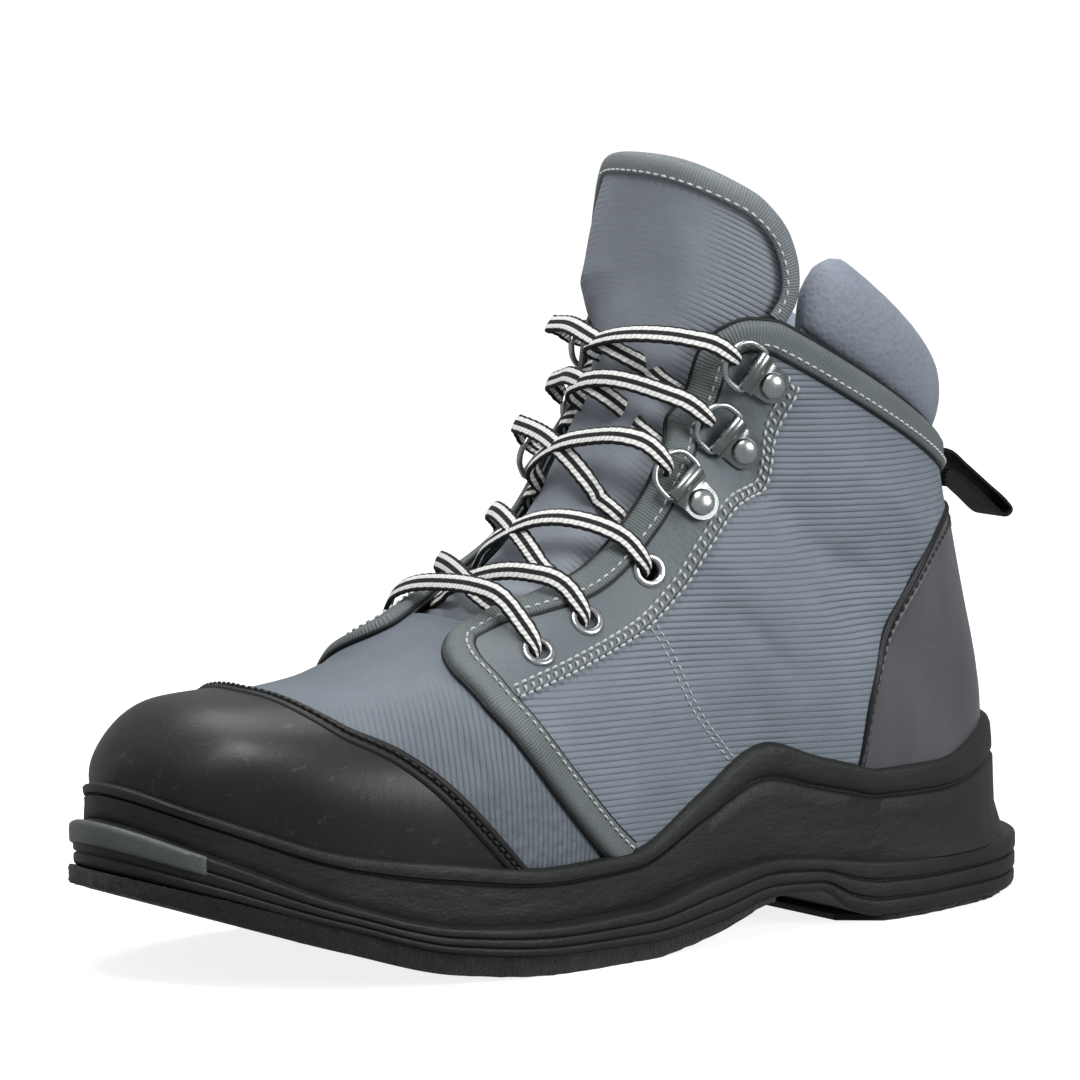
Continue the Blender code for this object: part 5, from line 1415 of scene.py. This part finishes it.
def build_tongue(look):
    """The padded tongue under the laces."""
    stations = np.concatenate([np.linspace(5.30, 14.6, 150), np.linspace(14.62, 14.99, 14)])
    across = np.sin(np.linspace(-1, 1, 71) * np.pi / 2)
    rings, uv_g = [], []
    for t in stations:
        g, middle, half = tongue_section(t, across)
        swell = 0.0007 * np.cos(across * np.pi / 2) * np.clip((t - 8) / 3, 0, 1)
        swell = swell + tongue_flare(t, across)
        front = LAST.at(t, g, -TONGUE_SINK - middle + half + swell)
        back = LAST.at(t, g[1:-1], -TONGUE_SINK - middle - half[1:-1] + tongue_flare(t, across[1:-1]))[::-1]
        rings.append(np.concatenate([front, back]))
        uv_g.append(np.concatenate([across, across[1:-1][::-1]]))
    rings = np.array(rings)
    piece = swept("tongue_cloth", rings, look, replaces=("tongue",))
    marks = np.concatenate([np.array(uv_g), np.array(uv_g)[:, :1]], axis=1)
    attribute = piece.data.attributes.new("girth", "FLOAT", "POINT")
    attribute.data.foreach_set("value", marks.ravel())
    levels = np.repeat(stations, marks.shape[1])
    attribute = piece.data.attributes.new("station", "FLOAT", "POINT")
    attribute.data.foreach_set("value", levels)


TAPED_FROM = 14.2  # station at which the tongue's tape begins


def build_tongue_tape(look):
    """The tape over the tongue's top edge. Returns its stitch line."""
    up = [(t, 1.0) for t in np.linspace(TAPED_FROM - 0.15, 14.86, 30)]
    turn = np.linspace(0, np.pi / 2, 26)[1:]
    round_corner = [(14.86 + 0.125 * math.sin(a), 1 - 0.10 * (1 - math.cos(a))) for a in turn]
    top = [(14.985, share) for share in np.linspace(0.90, 0.0, 60)[1:]]
    half = up + round_corner + top
    path = np.array(half + [(t, -g) for t, g in half[::-1][1:]])
    t = path[:, 0]
    g = narrowed(t, path[:, 1]) * tongue_width(t) / LAST.length(t)
    spots, normals = LAST.at(t, g, tongue_flare(t, path[:, 1])), LAST.normal(t, g)
    even = np.ones(9) / 9
    spots = np.stack([np.convolve(np.pad(spots[:, k], 4, "edge"), even, "valid") for k in range(3)], -1)
    ahead = np.gradient(spots, axis=0)
    ahead /= np.linalg.norm(ahead, axis=1, keepdims=True)
    out = np.cross(ahead, normals)
    out /= np.linalg.norm(out, axis=1, keepdims=True)
    if np.dot(out[len(out) // 2], spots[len(out) // 2] - LAST.at(13.0, 0.0)) < 0:
        out = -out
    thick = np.maximum(TONGUE_EDGE, 0.55 * TONGUE_THICK)
    face, back = -TONGUE_SINK + 0.0014, -TONGUE_SINK - thick - 0.0016
    arm = TAPE_WIDTH * 0.58
    middle = (face + back) / 2
    corners = [(-arm, face - 0.0012), (-arm, face), (-arm * 0.5, face + 0.0003), (0.0, face),
               (0.0018, face - 0.0012), (0.0024, middle), (0.0018, back + 0.0010), (0.0, back),
               (-arm * 0.6, back), (-arm * 0.6, back + 0.0010), (-0.0006, back + 0.0014),
               (0.0002, middle), (-0.0006, face - 0.0014)]
    section = spline(corners, 40, closed=True)
    rings = np.array([spots + out * a + normals * b for a, b in section]).transpose(1, 0, 2)
    swept("tongue_tape", rings, look, replaces=("tongue_binding",))
    row = spots - out * arm * 0.72 + normals * (face + 0.0004)
    outer_side = slice(2, -50)
    return [(row[outer_side], normals[outer_side])]


def fine_shares(low, high, count):
    """Shares of the last's length, close together at both ends."""
    turn = np.linspace(0, np.pi, count)
    return low + (high - low) * (1 - np.cos(turn)) / 2


def loop_walls(outline, tree, heights):
    """How far the last's wall stands out beside each point of an outline, at a height for each."""
    found = []
    for k, height in enumerate(heights):
        point = outline.points[k] + SHIFT[:2]
        normal = outline.normals[k]
        away = Vector((*(point + normal * BALL_WIDTH), height))
        place, _, _, _ = tree.ray_cast(away, Vector((*(-normal), 0.0)))
        found.append(0.0 if place is None else max(0.0, float(np.dot(np.array(place)[:2] - point, normal))))
    found = np.array(found)
    for _ in range(6):
        found = (np.roll(found, 1) + 2 * found + np.roll(found, -1)) / 4
    return found


def stacked(name, outline, loops, look, replaces=(), closing=True):
    """A piece made of loops, one above another."""
    rows = np.array(list(loops)) + SHIFT
    count, columns = rows.shape[:2]
    rows = np.concatenate([rows, rows[:, :1]], axis=1)
    faces = quads(count, columns + 1).tolist()
    if closing:
        faces += [tuple(reversed(f)) for f in outline.caps(0)]
        faces += outline.caps((count - 1) * (columns + 1))
    run = np.concatenate([[0.0], np.cumsum(np.linalg.norm(np.diff(rows[0], axis=0), axis=1))])
    uv = np.stack(np.broadcast_arrays(run[None, :], rows[..., 2]), -1).reshape(-1, 2)
    return make(name, rows.reshape(-1, 3), faces, look, uv, None, replaces, sharp=48)


# Columns: share of the way down, share of the wall's thickness
RAND_FINE = ((0.00, 0.20), (0.012, 0.62), (0.03, 0.88), (0.07, 1.02), (0.20, 1.06), (0.255, 1.04),
             (0.275, 0.86), (0.292, 0.66), (0.315, 0.66), (0.332, 0.88), (0.355, 1.08), (0.50, 1.14),
             (0.75, 1.19), (0.95, 1.20), (1.00, 1.12))
FLANGE_FINE = (
    (0.00, 0.86), (0.012, 0.94), (0.035, 0.985), (0.07, 1.00), (0.27, 1.00), (0.305, 0.985), (0.322, 0.94),
    (0.335, 0.90), (0.360, 0.90), (0.373, 0.94), (0.392, 0.98), (0.43, 0.995), (0.60, 0.995), (0.638, 0.98),
    (0.655, 0.93), (0.668, 0.895), (0.695, 0.895), (0.708, 0.93), (0.727, 0.97), (0.77, 0.985), (0.90, 0.98),
    (0.955, 0.95), (1.00, 0.90),
)
# A felt's side: share of the way up, and out from its edge
FELT_FINE = ((0.0, -0.0016), (0.02, -0.0006), (0.16, 0.0), (0.35, 0.0), (0.55, 0.0), (0.78, 0.0),
             (1.0, -0.0002))


def build_sole(tree, rubber, felt, foam, bumper):
    """Rand, ribbed midsole, felts, footbed and bumper round the last's outline."""
    shares = np.unique(np.concatenate([fine_shares(0, 1, 190), [HEEL_FELT_END, FELT_START]]))
    outline = Outline(shares)
    span = outline.shares
    step, top, felt_high = sole_at(span, "step"), sole_at(span, "rand"), sole_at(span, "felt")
    floor, feather = sole_at(span, "floor"), feather_at(span)
    high_wall = loop_walls(outline, tree, top)
    low_wall = loop_walls(outline, tree, feather + (top - feather) * 0.40)
    low_wall = np.maximum(low_wall, loop_walls(outline, tree, feather + (top - feather) * 0.12))
    heel = np.clip((HEEL_FELT_END - span) / 0.14, 0, 1)
    loops = [outline.loop(high_wall - 0.0006, top - 0.0030)]
    for down, thick in RAND_FINE:
        height = top + (step - top) * down
        base = high_wall + (low_wall - high_wall) * min(1.0, down * 2)
        flare = heel * (0.0014 * min(1.0, down * 2.5) + 0.0032 * max(0.0, (down - 0.66) / 0.34) ** 2)
        loops.append(outline.loop(base + thick * RAND_WALL + 0.0004 + flare, height))
    stacked("rand_wall", outline, loops, rubber, replaces=("rand",), closing=False)

    flange = np.maximum(sole_at(span, "out") - heel * 0.0017, low_wall + RAND_WALL * 1.2 + 0.0016)
    under = floor + felt_high
    loops = [outline.loop(flange * 0.55, step + 0.0004)]
    for down, out in FLANGE_FINE:
        loops.append(outline.loop(flange * out, step + (under - step) * min(down, 0.995)))
    loops.append(outline.loop(flange * 0.80, under))
    stacked("midsole", outline, loops[::-1], rubber, replaces=("sole_unit",), closing=True)

    rng = np.random.default_rng(5)
    for name, part, old in (("felt_heel", shares[shares <= HEEL_FELT_END][::-1], "outsole_heel"),
                            ("felt_forefoot", shares[shares >= FELT_START], "outsole_forefoot")):
        line = Outline(part)
        bottom = sole_at(line.shares, "floor")
        high = bottom + sole_at(line.shares, "felt") + 0.0002
        edge = FLANGE * 0.865
        loops = []
        for share, off in FELT_FINE:
            fuzz = rng.normal(0, 0.00022, len(line.shares)) if 0 < share < 1 else 0.0
            loops.append(line.loop(edge + off + fuzz, bottom + (high - bottom) * share))
        stacked(name, line, loops, felt, replaces=(old,))

    inside = -(WALL + 0.0006)
    ring = [outline.loop(inside, feather + INSOLE_THICK * 0.05),
            outline.loop(inside, feather + INSOLE_THICK * 0.8),
            outline.loop(inside - 0.0012, feather + INSOLE_THICK)]
    stacked("footbed", outline, ring, foam, replaces=("insole", "insole_toe"))

    keep = [k for k in range(len(span)) if span[k] >= BUMPER_END]
    rings = []
    for n, k in enumerate(keep):
        normal = np.array([*outline.normals[k], 0.0])
        depth = under[k] - step[k]
        fade = min(n, len(keep) - 1 - n) / 5
        thick = 0.0015 * min(1.0, 0.3 + fade)
        foot = np.array([*outline.points[k], 0.0]) + normal * (flange[k] - 0.0004) + SHIFT
        section = [(-0.02, 0.0), (0.0, 0.6), (0.05, 0.95), (0.12, 1.0), (0.36, 1.0), (0.43, 0.92),
                   (0.47, 0.55), (0.48, 0.0)]
        rings.append([foot + normal * thick * b + (0, 0, step[k] + depth * a) for a, b in section])
    swept("bumper_strip", np.array(rings), bumper, replaces=("toe_bumper",))


BUMPER_END = 0.955


def seat(t, g):
    """A place for hardware: the point, its normal and the way towards the ridge."""
    point = LAST.at(t, g)
    normal = LAST.normal(t, g)
    towards = LAST.at(t, g - math.copysign(0.02, g)) - LAST.at(t, g + math.copysign(0.02, g))
    towards -= normal * np.dot(towards, normal)
    return point, normal, towards / np.linalg.norm(towards)


def turned(name, origin, axis, profile, segments, look, closed=True, replaces=()):
    """A profile of (radius, height) pairs turned round an axis."""
    axis = Vector(axis).normalized()
    across = axis.orthogonal().normalized()
    other = axis.cross(across)
    turn = np.linspace(0, 2 * np.pi, segments, endpoint=False)
    out = np.cos(turn)[:, None] * np.array(across) + np.sin(turn)[:, None] * np.array(other)
    profile = np.asarray(profile, float)
    rings = np.asarray(origin) + profile[None, :, :1] * out[:, None] + profile[None, :, 1:] * np.array(axis)
    rings = np.concatenate([rings, rings[:1]])
    faces = quads(len(rings), len(profile), closed=closed)
    piece = make(name, rings.reshape(-1, 3), faces, look, None, None, replaces, sharp=55)
    return drop_doubles(piece, 0.000002)


def build_hardware(metal, clip_metal):
    """Eyelets, clips, rings and rivets. Returns where the laces pass, for each side."""
    passes = {1: [], -1: []}
    hole, flange, barrel = EYELET_HOLE / 2, EYELET_FLANGE / 2, BARREL / 2
    top = 0.0017
    for side, label in ((1, "outer"), (-1, "inner")):
        for number, (t, g) in enumerate(EYELETS, 1):
            point, normal, towards = seat(t, g * side)
            profile = [(hole, -0.0016), (hole, top + 0.0001)]
            profile += [(hole + 0.0007 * (1 - math.cos(a)), top + 0.0001 + 0.0009 * math.sin(a))
                        for a in np.linspace(0, np.pi / 2, 6)[1:]]
            profile += [(flange - 0.0010 + 0.0010 * math.sin(a), top + 0.0004 + 0.0006 * math.cos(a))
                        for a in np.linspace(0, np.pi / 2, 6)]
            profile += [(flange, top - 0.0002), (barrel, top - 0.0002), (barrel, -0.0016)]
            turned(f"eyelet_rim_{label}_{number}", point, normal, profile, 40, metal,
                   replaces=(f"eyelet_{label}_{number}",))
            passes[side].append((point, normal, towards, 0.0, top))
        for number, (t, g) in enumerate(RING_MOUNTS, 1):
            point, normal, towards = seat(t, g * side)
            under = 0.0029
            across = np.cross(normal, towards)
            foot = point + normal * under
            build_ring(f"{label}_{number}", foot, normal, towards, across, metal, clip_metal)
            passes[side].append((point, normal, towards, BAR_REACH + RING_REACH * 0.55, under + BAR_HEIGHT))
    return passes


def build_ring(label, point, normal, towards, across, metal, clip_metal):
    """A riveted clip that holds a D-shaped ring."""
    half = CLIP_WIDTH / 2
    line = [(-half * math.cos(a), half * max(0.16, math.sin(a))) for a in np.linspace(0.16, np.pi / 2, 12)]
    line += [(0.0016, half), (0.0034, half * 1.02), (0.0050, half * 1.12)]
    radius = BAR_HEIGHT - CLIP_THICK / 2
    centres = [(d, CLIP_THICK / 2, w) for d, w in line]
    for angle in np.radians(np.linspace(-90, 175, 22)):
        turned_to = (BAR_REACH + radius * math.cos(angle), BAR_HEIGHT + radius * math.sin(angle))
        centres.append((*turned_to, half * 1.16))
    centres.append((BAR_REACH - 0.0030, CLIP_THICK * 2.1, half * 1.16))
    centres = np.array(centres)
    along = np.gradient(centres[:, :2], axis=0)
    along /= np.linalg.norm(along, axis=1, keepdims=True)
    rings = []
    section = [(-1, -0.6), (-0.96, -1), (0.96, -1), (1, -0.6), (1, 0.6), (0.96, 1), (-0.96, 1), (-1, 0.6)]
    for (d, h, w), (a, b) in zip(centres, along):
        spot = point + towards * d + normal * h
        up = normal * a - towards * b
        rings.append([spot + across * w * x + up * CLIP_THICK / 2 * y for x, y in section])
    piece = swept(f"clip_plate_{label}", np.array(rings), clip_metal, replaces=(f"clip_{label}",))
    piece.data.set_sharp_from_angle(angle=math.radians(40))

    bar = point + towards * BAR_REACH + normal * BAR_HEIGHT
    wide, reach = RING_WIDTH / 2, RING_REACH
    path = [(0.0, 0.0), (0.0, wide * 0.5), (0.0, wide * 0.84)]
    path += [(reach * 0.08, wide * 0.97), (reach * 0.30, wide)]
    for angle in np.radians(np.linspace(90, -90, 10)[1:-1]):
        path.append((reach * 0.42 + reach * 0.58 * math.cos(angle), wide * math.sin(angle)))
    path += [(reach * 0.30, -wide), (reach * 0.08, -wide * 0.97), (0.0, -wide * 0.84), (0.0, -wide * 0.5)]
    path = spline(path, 72, closed=True)
    tilt = normal * 0.10 + towards
    tilt /= np.linalg.norm(tilt)
    spots = bar + path[:, :1] * tilt + path[:, 1:] * across
    ahead = np.roll(spots, -1, axis=0) - np.roll(spots, 1, axis=0)
    ahead /= np.linalg.norm(ahead, axis=1, keepdims=True)
    side = np.cross(ahead, normal)
    turn = np.linspace(0, 2 * np.pi, 12, endpoint=False)
    rings = spots[:, None] + WIRE / 2 * (np.cos(turn)[None, :, None] * side[:, None]
                                         + np.sin(turn)[None, :, None] * normal)
    swept(f"ring_wire_{label}", rings, metal, closed_path=True, replaces=(f"ring_{label}",))

    radius = RIVET / 2
    top = CLIP_THICK + 0.0001
    dome = [(radius, top)]
    rise = np.linspace(0, np.pi / 2, 12)
    dome += [(radius * math.cos(a), top + 0.0003 + 0.0021 * math.sin(a)) for a in rise]
    dome[-1] = (0.0, dome[-1][1])
    turned(f"rivet_dome_{label}", point, normal, dome, 36, metal, closed=False, replaces=(f"rivet_{label}",))


RIDGE_HALF = 0.0090  # half width of the tongue's ridge, over which the under strands rise
UNDER_CREST = 0.0019
LACE_CLEAR = 0.0021  # how far the strands lie off the tongue's cloth


def lace_places(tree, begin, finish, least, hump, crest=0.0):
    """The CAD's places of one strand, for a smooth curve."""
    point, normal, towards, reach, rim = finish
    end = [point + towards * (reach + off * LACE_WIDTH) + normal * (rim + high * LACE_LIFT)
           for off, high, _ in LACE_DIVE]
    end.append(end[-1] - normal * 0.0030)
    widths = [wide for _, _, wide in LACE_DIVE] + [0.58]
    first, last = begin[-1], end[0]
    foot, head = (np.array(LAST.place_of(tree.find_nearest(Vector(spot))[2])) for spot in (first, last))
    middle = []
    for share in np.linspace(0, 1, 13)[1:-1]:
        spot = first + (last - first) * share
        t, g = foot + (head - foot) * share
        place, way = LAST.at(t, g), LAST.normal(t, g)
        over_cloth = LACE_CLEAR + crest * math.exp(-((g * LAST.length(t) / RIDGE_HALF) ** 2))
        over_cloth += tongue_flare(t, g * LAST.length(t) / tongue_width(t))
        if np.dot(way, normal) < 0:
            way = -way
        height = max(float(np.dot(spot - place, way)), least + OVER_TAPE * share ** 2)
        height += hump * math.sin(math.pi * share) + END_RISE * OVER_TAPE * share + over_cloth
        middle.append(place + way * height)
    places = np.array(list(begin) + middle + end)
    return places, np.array([START_WIDTH] * len(begin) + [1.0] * len(middle) + widths)


def build_strand(name, places, widths, look, twist=0.0, replaces=()):
    """A flat lace along its places."""
    rows = spline(np.column_stack([places, widths / 1000]), 120)
    path, wide = smoothed_points(rows[:, :3], 26), rows[:, 3] * 1000
    ahead = np.gradient(path, axis=0)
    ahead /= np.linalg.norm(ahead, axis=1, keepdims=True)
    throat_way = LAST.at(13.0, 0.0) - LAST.at(6.0, 0.0)
    side = throat_way - ahead * (ahead @ throat_way)[:, None]
    side /= np.linalg.norm(side, axis=1, keepdims=True)
    up = np.cross(ahead, side)
    turn_by = twist * np.sin(np.linspace(0, np.pi, len(path)))[:, None]
    side, up = side * np.cos(turn_by) + up * np.sin(turn_by), up * np.cos(turn_by) - side * np.sin(turn_by)
    turn = np.linspace(0, 2 * np.pi, 24, endpoint=False)
    across = np.cos(turn)
    high = np.sign(np.sin(turn)) * np.abs(np.sin(turn)) ** 0.7
    wave = 1 + 0.035 * np.sin(np.arange(len(path)) * 1.4)
    w = (LACE_WIDTH / 2 * wide * wave)[:, None, None]
    h = LACE_THICK / 2 / np.maximum(wide, 0.6)[:, None, None] ** 0.5
    rings = path[:, None] + w * across[None, :, None] * side[:, None] + h * high[None, :, None] * up[:, None]
    return swept(name, rings, look, replaces=replaces)


def smoothed_points(points, rounds):
    points = points.copy()
    for _ in range(rounds):
        points[1:-1] = (points[:-2] + 2 * points[1:-1] + points[2:]) / 4
    return points


def flap_begin(t, side):
    """Where a strand comes up from under a flap's edge."""
    places = []
    for inwards, up in ((0.0010, -0.0026),) + FLAP_START:
        g = (throat_line(t) - inwards / LAST.length(t)) * side
        places.append(LAST.at(t, g, up))
    return places


def build_laces(tree, passes, look):
    """The bar over the vamp's edge and five crossings of two strands each."""
    point, normal, towards, reach, rim = passes[-1][0]
    begin = [point + towards * (reach + off * LACE_WIDTH) + normal * (rim + high * LACE_LIFT)
             for off, high, _ in LACE_DIVE][::-1]
    begin = [begin[0] - normal * 0.0030] + begin
    places, widths = lace_places(tree, begin, passes[1][0], BAR_LEAST, 0.0)
    build_strand("lace_lowest", places, widths, look, replaces=("lace_bar",))
    for number, (t, end) in enumerate(CROSSINGS, 1):
        twist = 0.12 * math.sin(number * 2.1)
        over = lace_places(tree, flap_begin(t, -1), passes[1][end], OVER_LEAST, OVER_HUMP)
        build_strand(f"lace_over_{number}", *over, look, twist, replaces=(f"lace_cross_{number}",))
        under = lace_places(tree, flap_begin(t, 1), passes[-1][end], UNDER_LEAST, 0.0, UNDER_CREST)
        build_strand(f"lace_under_{number}", *under, look, -twist)


def build_loop(look):
    """The webbing loop behind the heel."""
    root = LAST.at(13.92, 1.0) + np.array((0.0, TAPE_THICK + 0.0016 + WEBBING / 2, 0.0))
    root[0] = SHIFT[0]
    path = spline(np.array(LOOP_PATH) * LOOP_REACH, 120)
    ahead = np.gradient(path, axis=0)
    ahead /= np.linalg.norm(ahead, axis=1, keepdims=True)
    spots = root + np.column_stack([np.zeros(len(path)), path])
    up = np.column_stack([np.zeros(len(path)), -ahead[:, 1], ahead[:, 0]])
    corners = [(-1, 0), (-0.97, -0.9), (0, -1), (0.97, -0.9), (1, 0), (0.97, 0.9), (0, 1), (-0.97, 0.9)]
    section = spline(corners, 32, closed=True)
    rings = spots[:, None] + section[None, :, :1] * np.array((LOOP_WIDTH / 2, 0, 0)) + (
        section[None, :, 1:] * WEBBING / 2 * up[:, None])
    swept("heel_loop", rings, look, replaces=("pull_loop",))


def seam(rows, count=260):
    """A smooth seam through rows of (station, girth)."""
    return smooth_path(rows, count)


# Crosses the quarter below the third eyelet
SMALL_SEAM = ((7.50, 0.24), (7.60, 0.45), (7.55, 0.61), (7.70, 0.80))


def build_stitches(tape_runs, cap_runs, counter_runs, tongue_runs, pale, dark):
    """Every row of stitches, in their own thread."""
    runs = []
    eyestay = seam(EYESTAY_SEAM, 300)
    for side, label in ((1, "outer"), (-1, "inner")):
        path = eyestay * (1, side)
        rows = [over_cloth(beside(path, -away * side), 0.0019) for away in (-0.0004, 0.0032)]
        ladder(f"stay_ladder_{label}", rows[0], rows[1], pale)
    small = seam(SMALL_SEAM, 120)
    runs = []
    for side in (1, -1):
        for away in (-0.0011, 0.0011):
            runs.append(over_cloth(beside(small * (1, side), away), 0.0010))
    stitches("quarter_stitches", runs, pale, step=0.0027, length=0.0018, width=0.0006)
    stitches("tape_stitches", tape_runs, pale, step=0.0029, length=0.0020, width=0.0008)
    stitches("tongue_stitches", tongue_runs, pale, step=0.0029, length=0.0020, width=0.0008)
    stitches("cap_stitches", cap_runs, dark, step=0.0028, length=0.0021, width=0.0009)
    stitches("counter_stitches", counter_runs, dark, step=0.0030, length=0.0022, width=0.0007)


LAST = Last()
TREE = last_tree()

CLOTH = ribbed_cloth("quarter cloth", (98, 107, 116), (130, 139, 149), (0.05, 0.03, 1.0))
# Painted shade: the upward-facing vamp gets a darker copy of the quarter cloth's colours.
VAMP_CLOTH = ribbed_cloth("vamp cloth", (80, 88, 96), (108, 116, 124), (0.0, 1.0, 0.0), fade=(0.22, 0.48),
                          crinkle=330.0, uv=True, depth=0.00020)
TONGUE_CLOTH = ribbed_cloth("tongue cloth", (116, 122, 130), (140, 146, 155), (0.0, 1.0, 0.0),
                            fade=(0.42, 0.62), uv=True)
STAY_CLOTH = smooth_cloth("eyestay cloth", (82, 90, 94), (104, 112, 116))
TAPE_LOOK = tape_cloth("binding tape", (88, 95, 97), (112, 119, 119))
TONGUE_TAPE = tape_cloth("tongue tape", (106, 112, 116), (130, 136, 139))
COLLAR_LOOK = smooth_cloth("collar cloth", (114, 121, 133), (142, 149, 161), grain=700.0, depth=0.00022,
                           roughness=(0.55, 0.72))
CAP_LOOK = coated("cap coating", (10, 11, 12), (24, 25, 28), (0.34, 0.52), coat=0.10)
# The counter's wide span of tone in tall streaks is partly the coating's uneven tone and partly painted
# highlight.
COUNTER_LOOK = coated("counter coating", (40, 40, 44), (92, 92, 98), (0.32, 0.48), coat=0.15,
                      streak=(1, 1, 0.15))
PIPING = coated("black piping", (10, 10, 11), (22, 22, 24), (0.45, 0.60))
RUBBER = moulded_rubber("sole rubber", (16, 18, 17), (30, 32, 31))
BUMPER = moulded_rubber("bumper rubber", (66, 69, 70), (90, 93, 94), (0.36, 0.52))
FELT = needled_felt("sole felt")
FOAM = open_mesh("footbed cloth")
LINING = open_mesh("lining")
METAL = plain_metal("ring metal", (150, 153, 154), (202, 204, 205))
CLIP_METAL = plain_metal("clip metal", (104, 108, 109), (150, 154, 154))
LACE = striped_lace("striped lace")
WEBBING_LOOK = tape_cloth("loop webbing", (3, 3, 3), (9, 9, 10), period=0.0012, across=0.0002)
PALE_THREAD = thread("pale thread", (150, 154, 155), (206, 209, 208))
DARK_THREAD = thread("dark thread", (22, 22, 23), (44, 44, 46))

build_vamp(VAMP_CLOTH)
build_lining(LINING)
build_quarters(CLOTH)
TAPE_RUNS = build_tape(TAPE_LOOK, PIPING)
build_eyestays(STAY_CLOTH)
CAP_RUNS = build_toe_cap(CAP_LOOK, PIPING)
COUNTER_RUNS = build_counter(COUNTER_LOOK, PIPING, TREE)
build_collar(COLLAR_LOOK)
build_tongue(TONGUE_CLOTH)
TONGUE_RUNS = build_tongue_tape(TONGUE_TAPE)
build_sole(TREE, RUBBER, FELT, FOAM, BUMPER)
PASSES = build_hardware(METAL, CLIP_METAL)
build_laces(TREE, PASSES, LACE)
build_loop(WEBBING_LOOK)
build_stitches(TAPE_RUNS, CAP_RUNS, COUNTER_RUNS, TONGUE_RUNS, PALE_THREAD, DARK_THREAD)


# The photograph's view, measured on it: degrees, metres and the lens for a 36 mm film
VIEW_TURN, VIEW_RISE, VIEW_ROLL = 52.9065, 6.8747, 0.2298
VIEW_DISTANCE = 2.0237
VIEW_TARGET = (-0.0084, -0.1513, 0.1138)
LENS = 231.9


def place_camera():
    """The camera at the photograph's angle to the boot."""
    turn, rise, roll = (math.radians(v) for v in (VIEW_TURN, VIEW_RISE, VIEW_ROLL))
    back = Vector((math.sin(turn) * math.cos(rise), -math.cos(turn) * math.cos(rise), math.sin(rise)))
    right = Vector((math.cos(turn), math.sin(turn), 0.0))
    up = back.cross(right)
    right, up = right * math.cos(roll) + up * math.sin(roll), up * math.cos(roll) - right * math.sin(roll)
    camera = bpy.data.objects.new("camera", bpy.data.cameras.new("camera"))
    camera.data.lens = LENS
    camera.data.sensor_width = 36.0
    camera.data.clip_end = 20.0
    place = Vector(VIEW_TARGET) + Vector(SHIFT.tolist()) + back * VIEW_DISTANCE
    camera.matrix_world = Matrix((
        (right.x, up.x, back.x, place.x), (right.y, up.y, back.y, place.y), (right.z, up.z, back.z, place.z),
        (0.0, 0.0, 0.0, 1.0),
    ))
    bpy.context.scene.collection.objects.link(camera)
    bpy.context.scene.camera = camera
    return place


def soft_light(name, place, target, size, power):
    """A square soft light that looks at a target."""
    lamp = bpy.data.lights.new(name, "AREA")
    lamp.shape = "SQUARE"
    lamp.size = size
    lamp.energy = power
    thing = bpy.data.objects.new(name, lamp)
    thing.location = place
    thing.rotation_euler = (Vector(target) - Vector(place)).to_track_quat("-Z", "Y").to_euler()
    bpy.context.scene.collection.objects.link(thing)


def glowing(name, strength, base=0.0):
    """A plain pale surface that also gives off light."""
    look = bpy.data.materials.new(name)
    look.use_nodes = True
    shader = look.node_tree.nodes["Principled BSDF"]
    shader.inputs["Base Color"].default_value = (base, base, base, 1.0)
    shader.inputs["Roughness"].default_value = 0.9
    shader.inputs["Specular IOR Level"].default_value = 0.0
    shader.inputs["Emission Color"].default_value = (1.0, 1.0, 1.0, 1.0)
    shader.inputs["Emission Strength"].default_value = strength
    return look


def stage_piece(name, points, faces, look):
    mesh = bpy.data.meshes.new(name)
    mesh.from_pydata(points, [], faces)
    mesh.materials.append(look)
    thing = bpy.data.objects.new(name, mesh)
    bpy.context.scene.collection.objects.link(thing)
    return thing


ROOM = 7.0  # half the studio's width
# Columns: name, place, what it looks at, side in metres, watts
LIGHTS = (
    ("key", (0.6, -0.6, 1.6), (0.0, -0.02, 0.08), 0.6, 19.0),
    ("side", (1.5, 0.5, 0.7), (0.0, 0.0, 0.10), 0.7, 17.0),
    ("top", (-0.5, 0.1, 1.5), (0.0, 0.0, 0.10), 1.0, 14.0),
)
SKY_STRENGTH = 0.40
FLOOR_GLOW, FLOOR_PALE = 0.84, 0.42


def light_studio():
    """A white studio: a floor and a backdrop that throw no light on the boot, and soft lights from above."""
    bpy.context.scene.view_settings.view_transform = "Standard"
    world = bpy.data.worlds.new("studio")
    bpy.context.scene.world = world
    world.use_nodes = True
    sky = world.node_tree.nodes["Background"]
    sky.inputs["Color"].default_value = (0.97, 0.985, 1.0, 1.0)
    sky.inputs["Strength"].default_value = SKY_STRENGTH
    for name, place, target, size, power in LIGHTS:
        soft_light(name, place, target, size, power)
    corners = [(-ROOM, -ROOM, 0), (ROOM, -ROOM, 0), (ROOM, ROOM, 0), (-ROOM, ROOM, 0)]
    floor = stage_piece("floor", corners, [(0, 1, 2, 3)], glowing("pale floor", FLOOR_GLOW, base=FLOOR_PALE))
    turn = [2 * math.pi * k / 48 for k in range(48)]
    ring = [(ROOM * math.cos(a), ROOM * math.sin(a)) for a in turn]
    points = [(x, y, -0.5) for x, y in ring] + [(x, y, ROOM) for x, y in ring]
    faces = [(k, (k + 1) % 48, (k + 1) % 48 + 48, k + 48) for k in range(48)]
    backdrop = stage_piece("backdrop", points, faces, glowing("white backdrop", 1.0))
    backdrop.visible_shadow = False
    for thing in (floor, backdrop):
        thing.visible_diffuse = False
        thing.visible_glossy = False


place_camera()
light_studio()
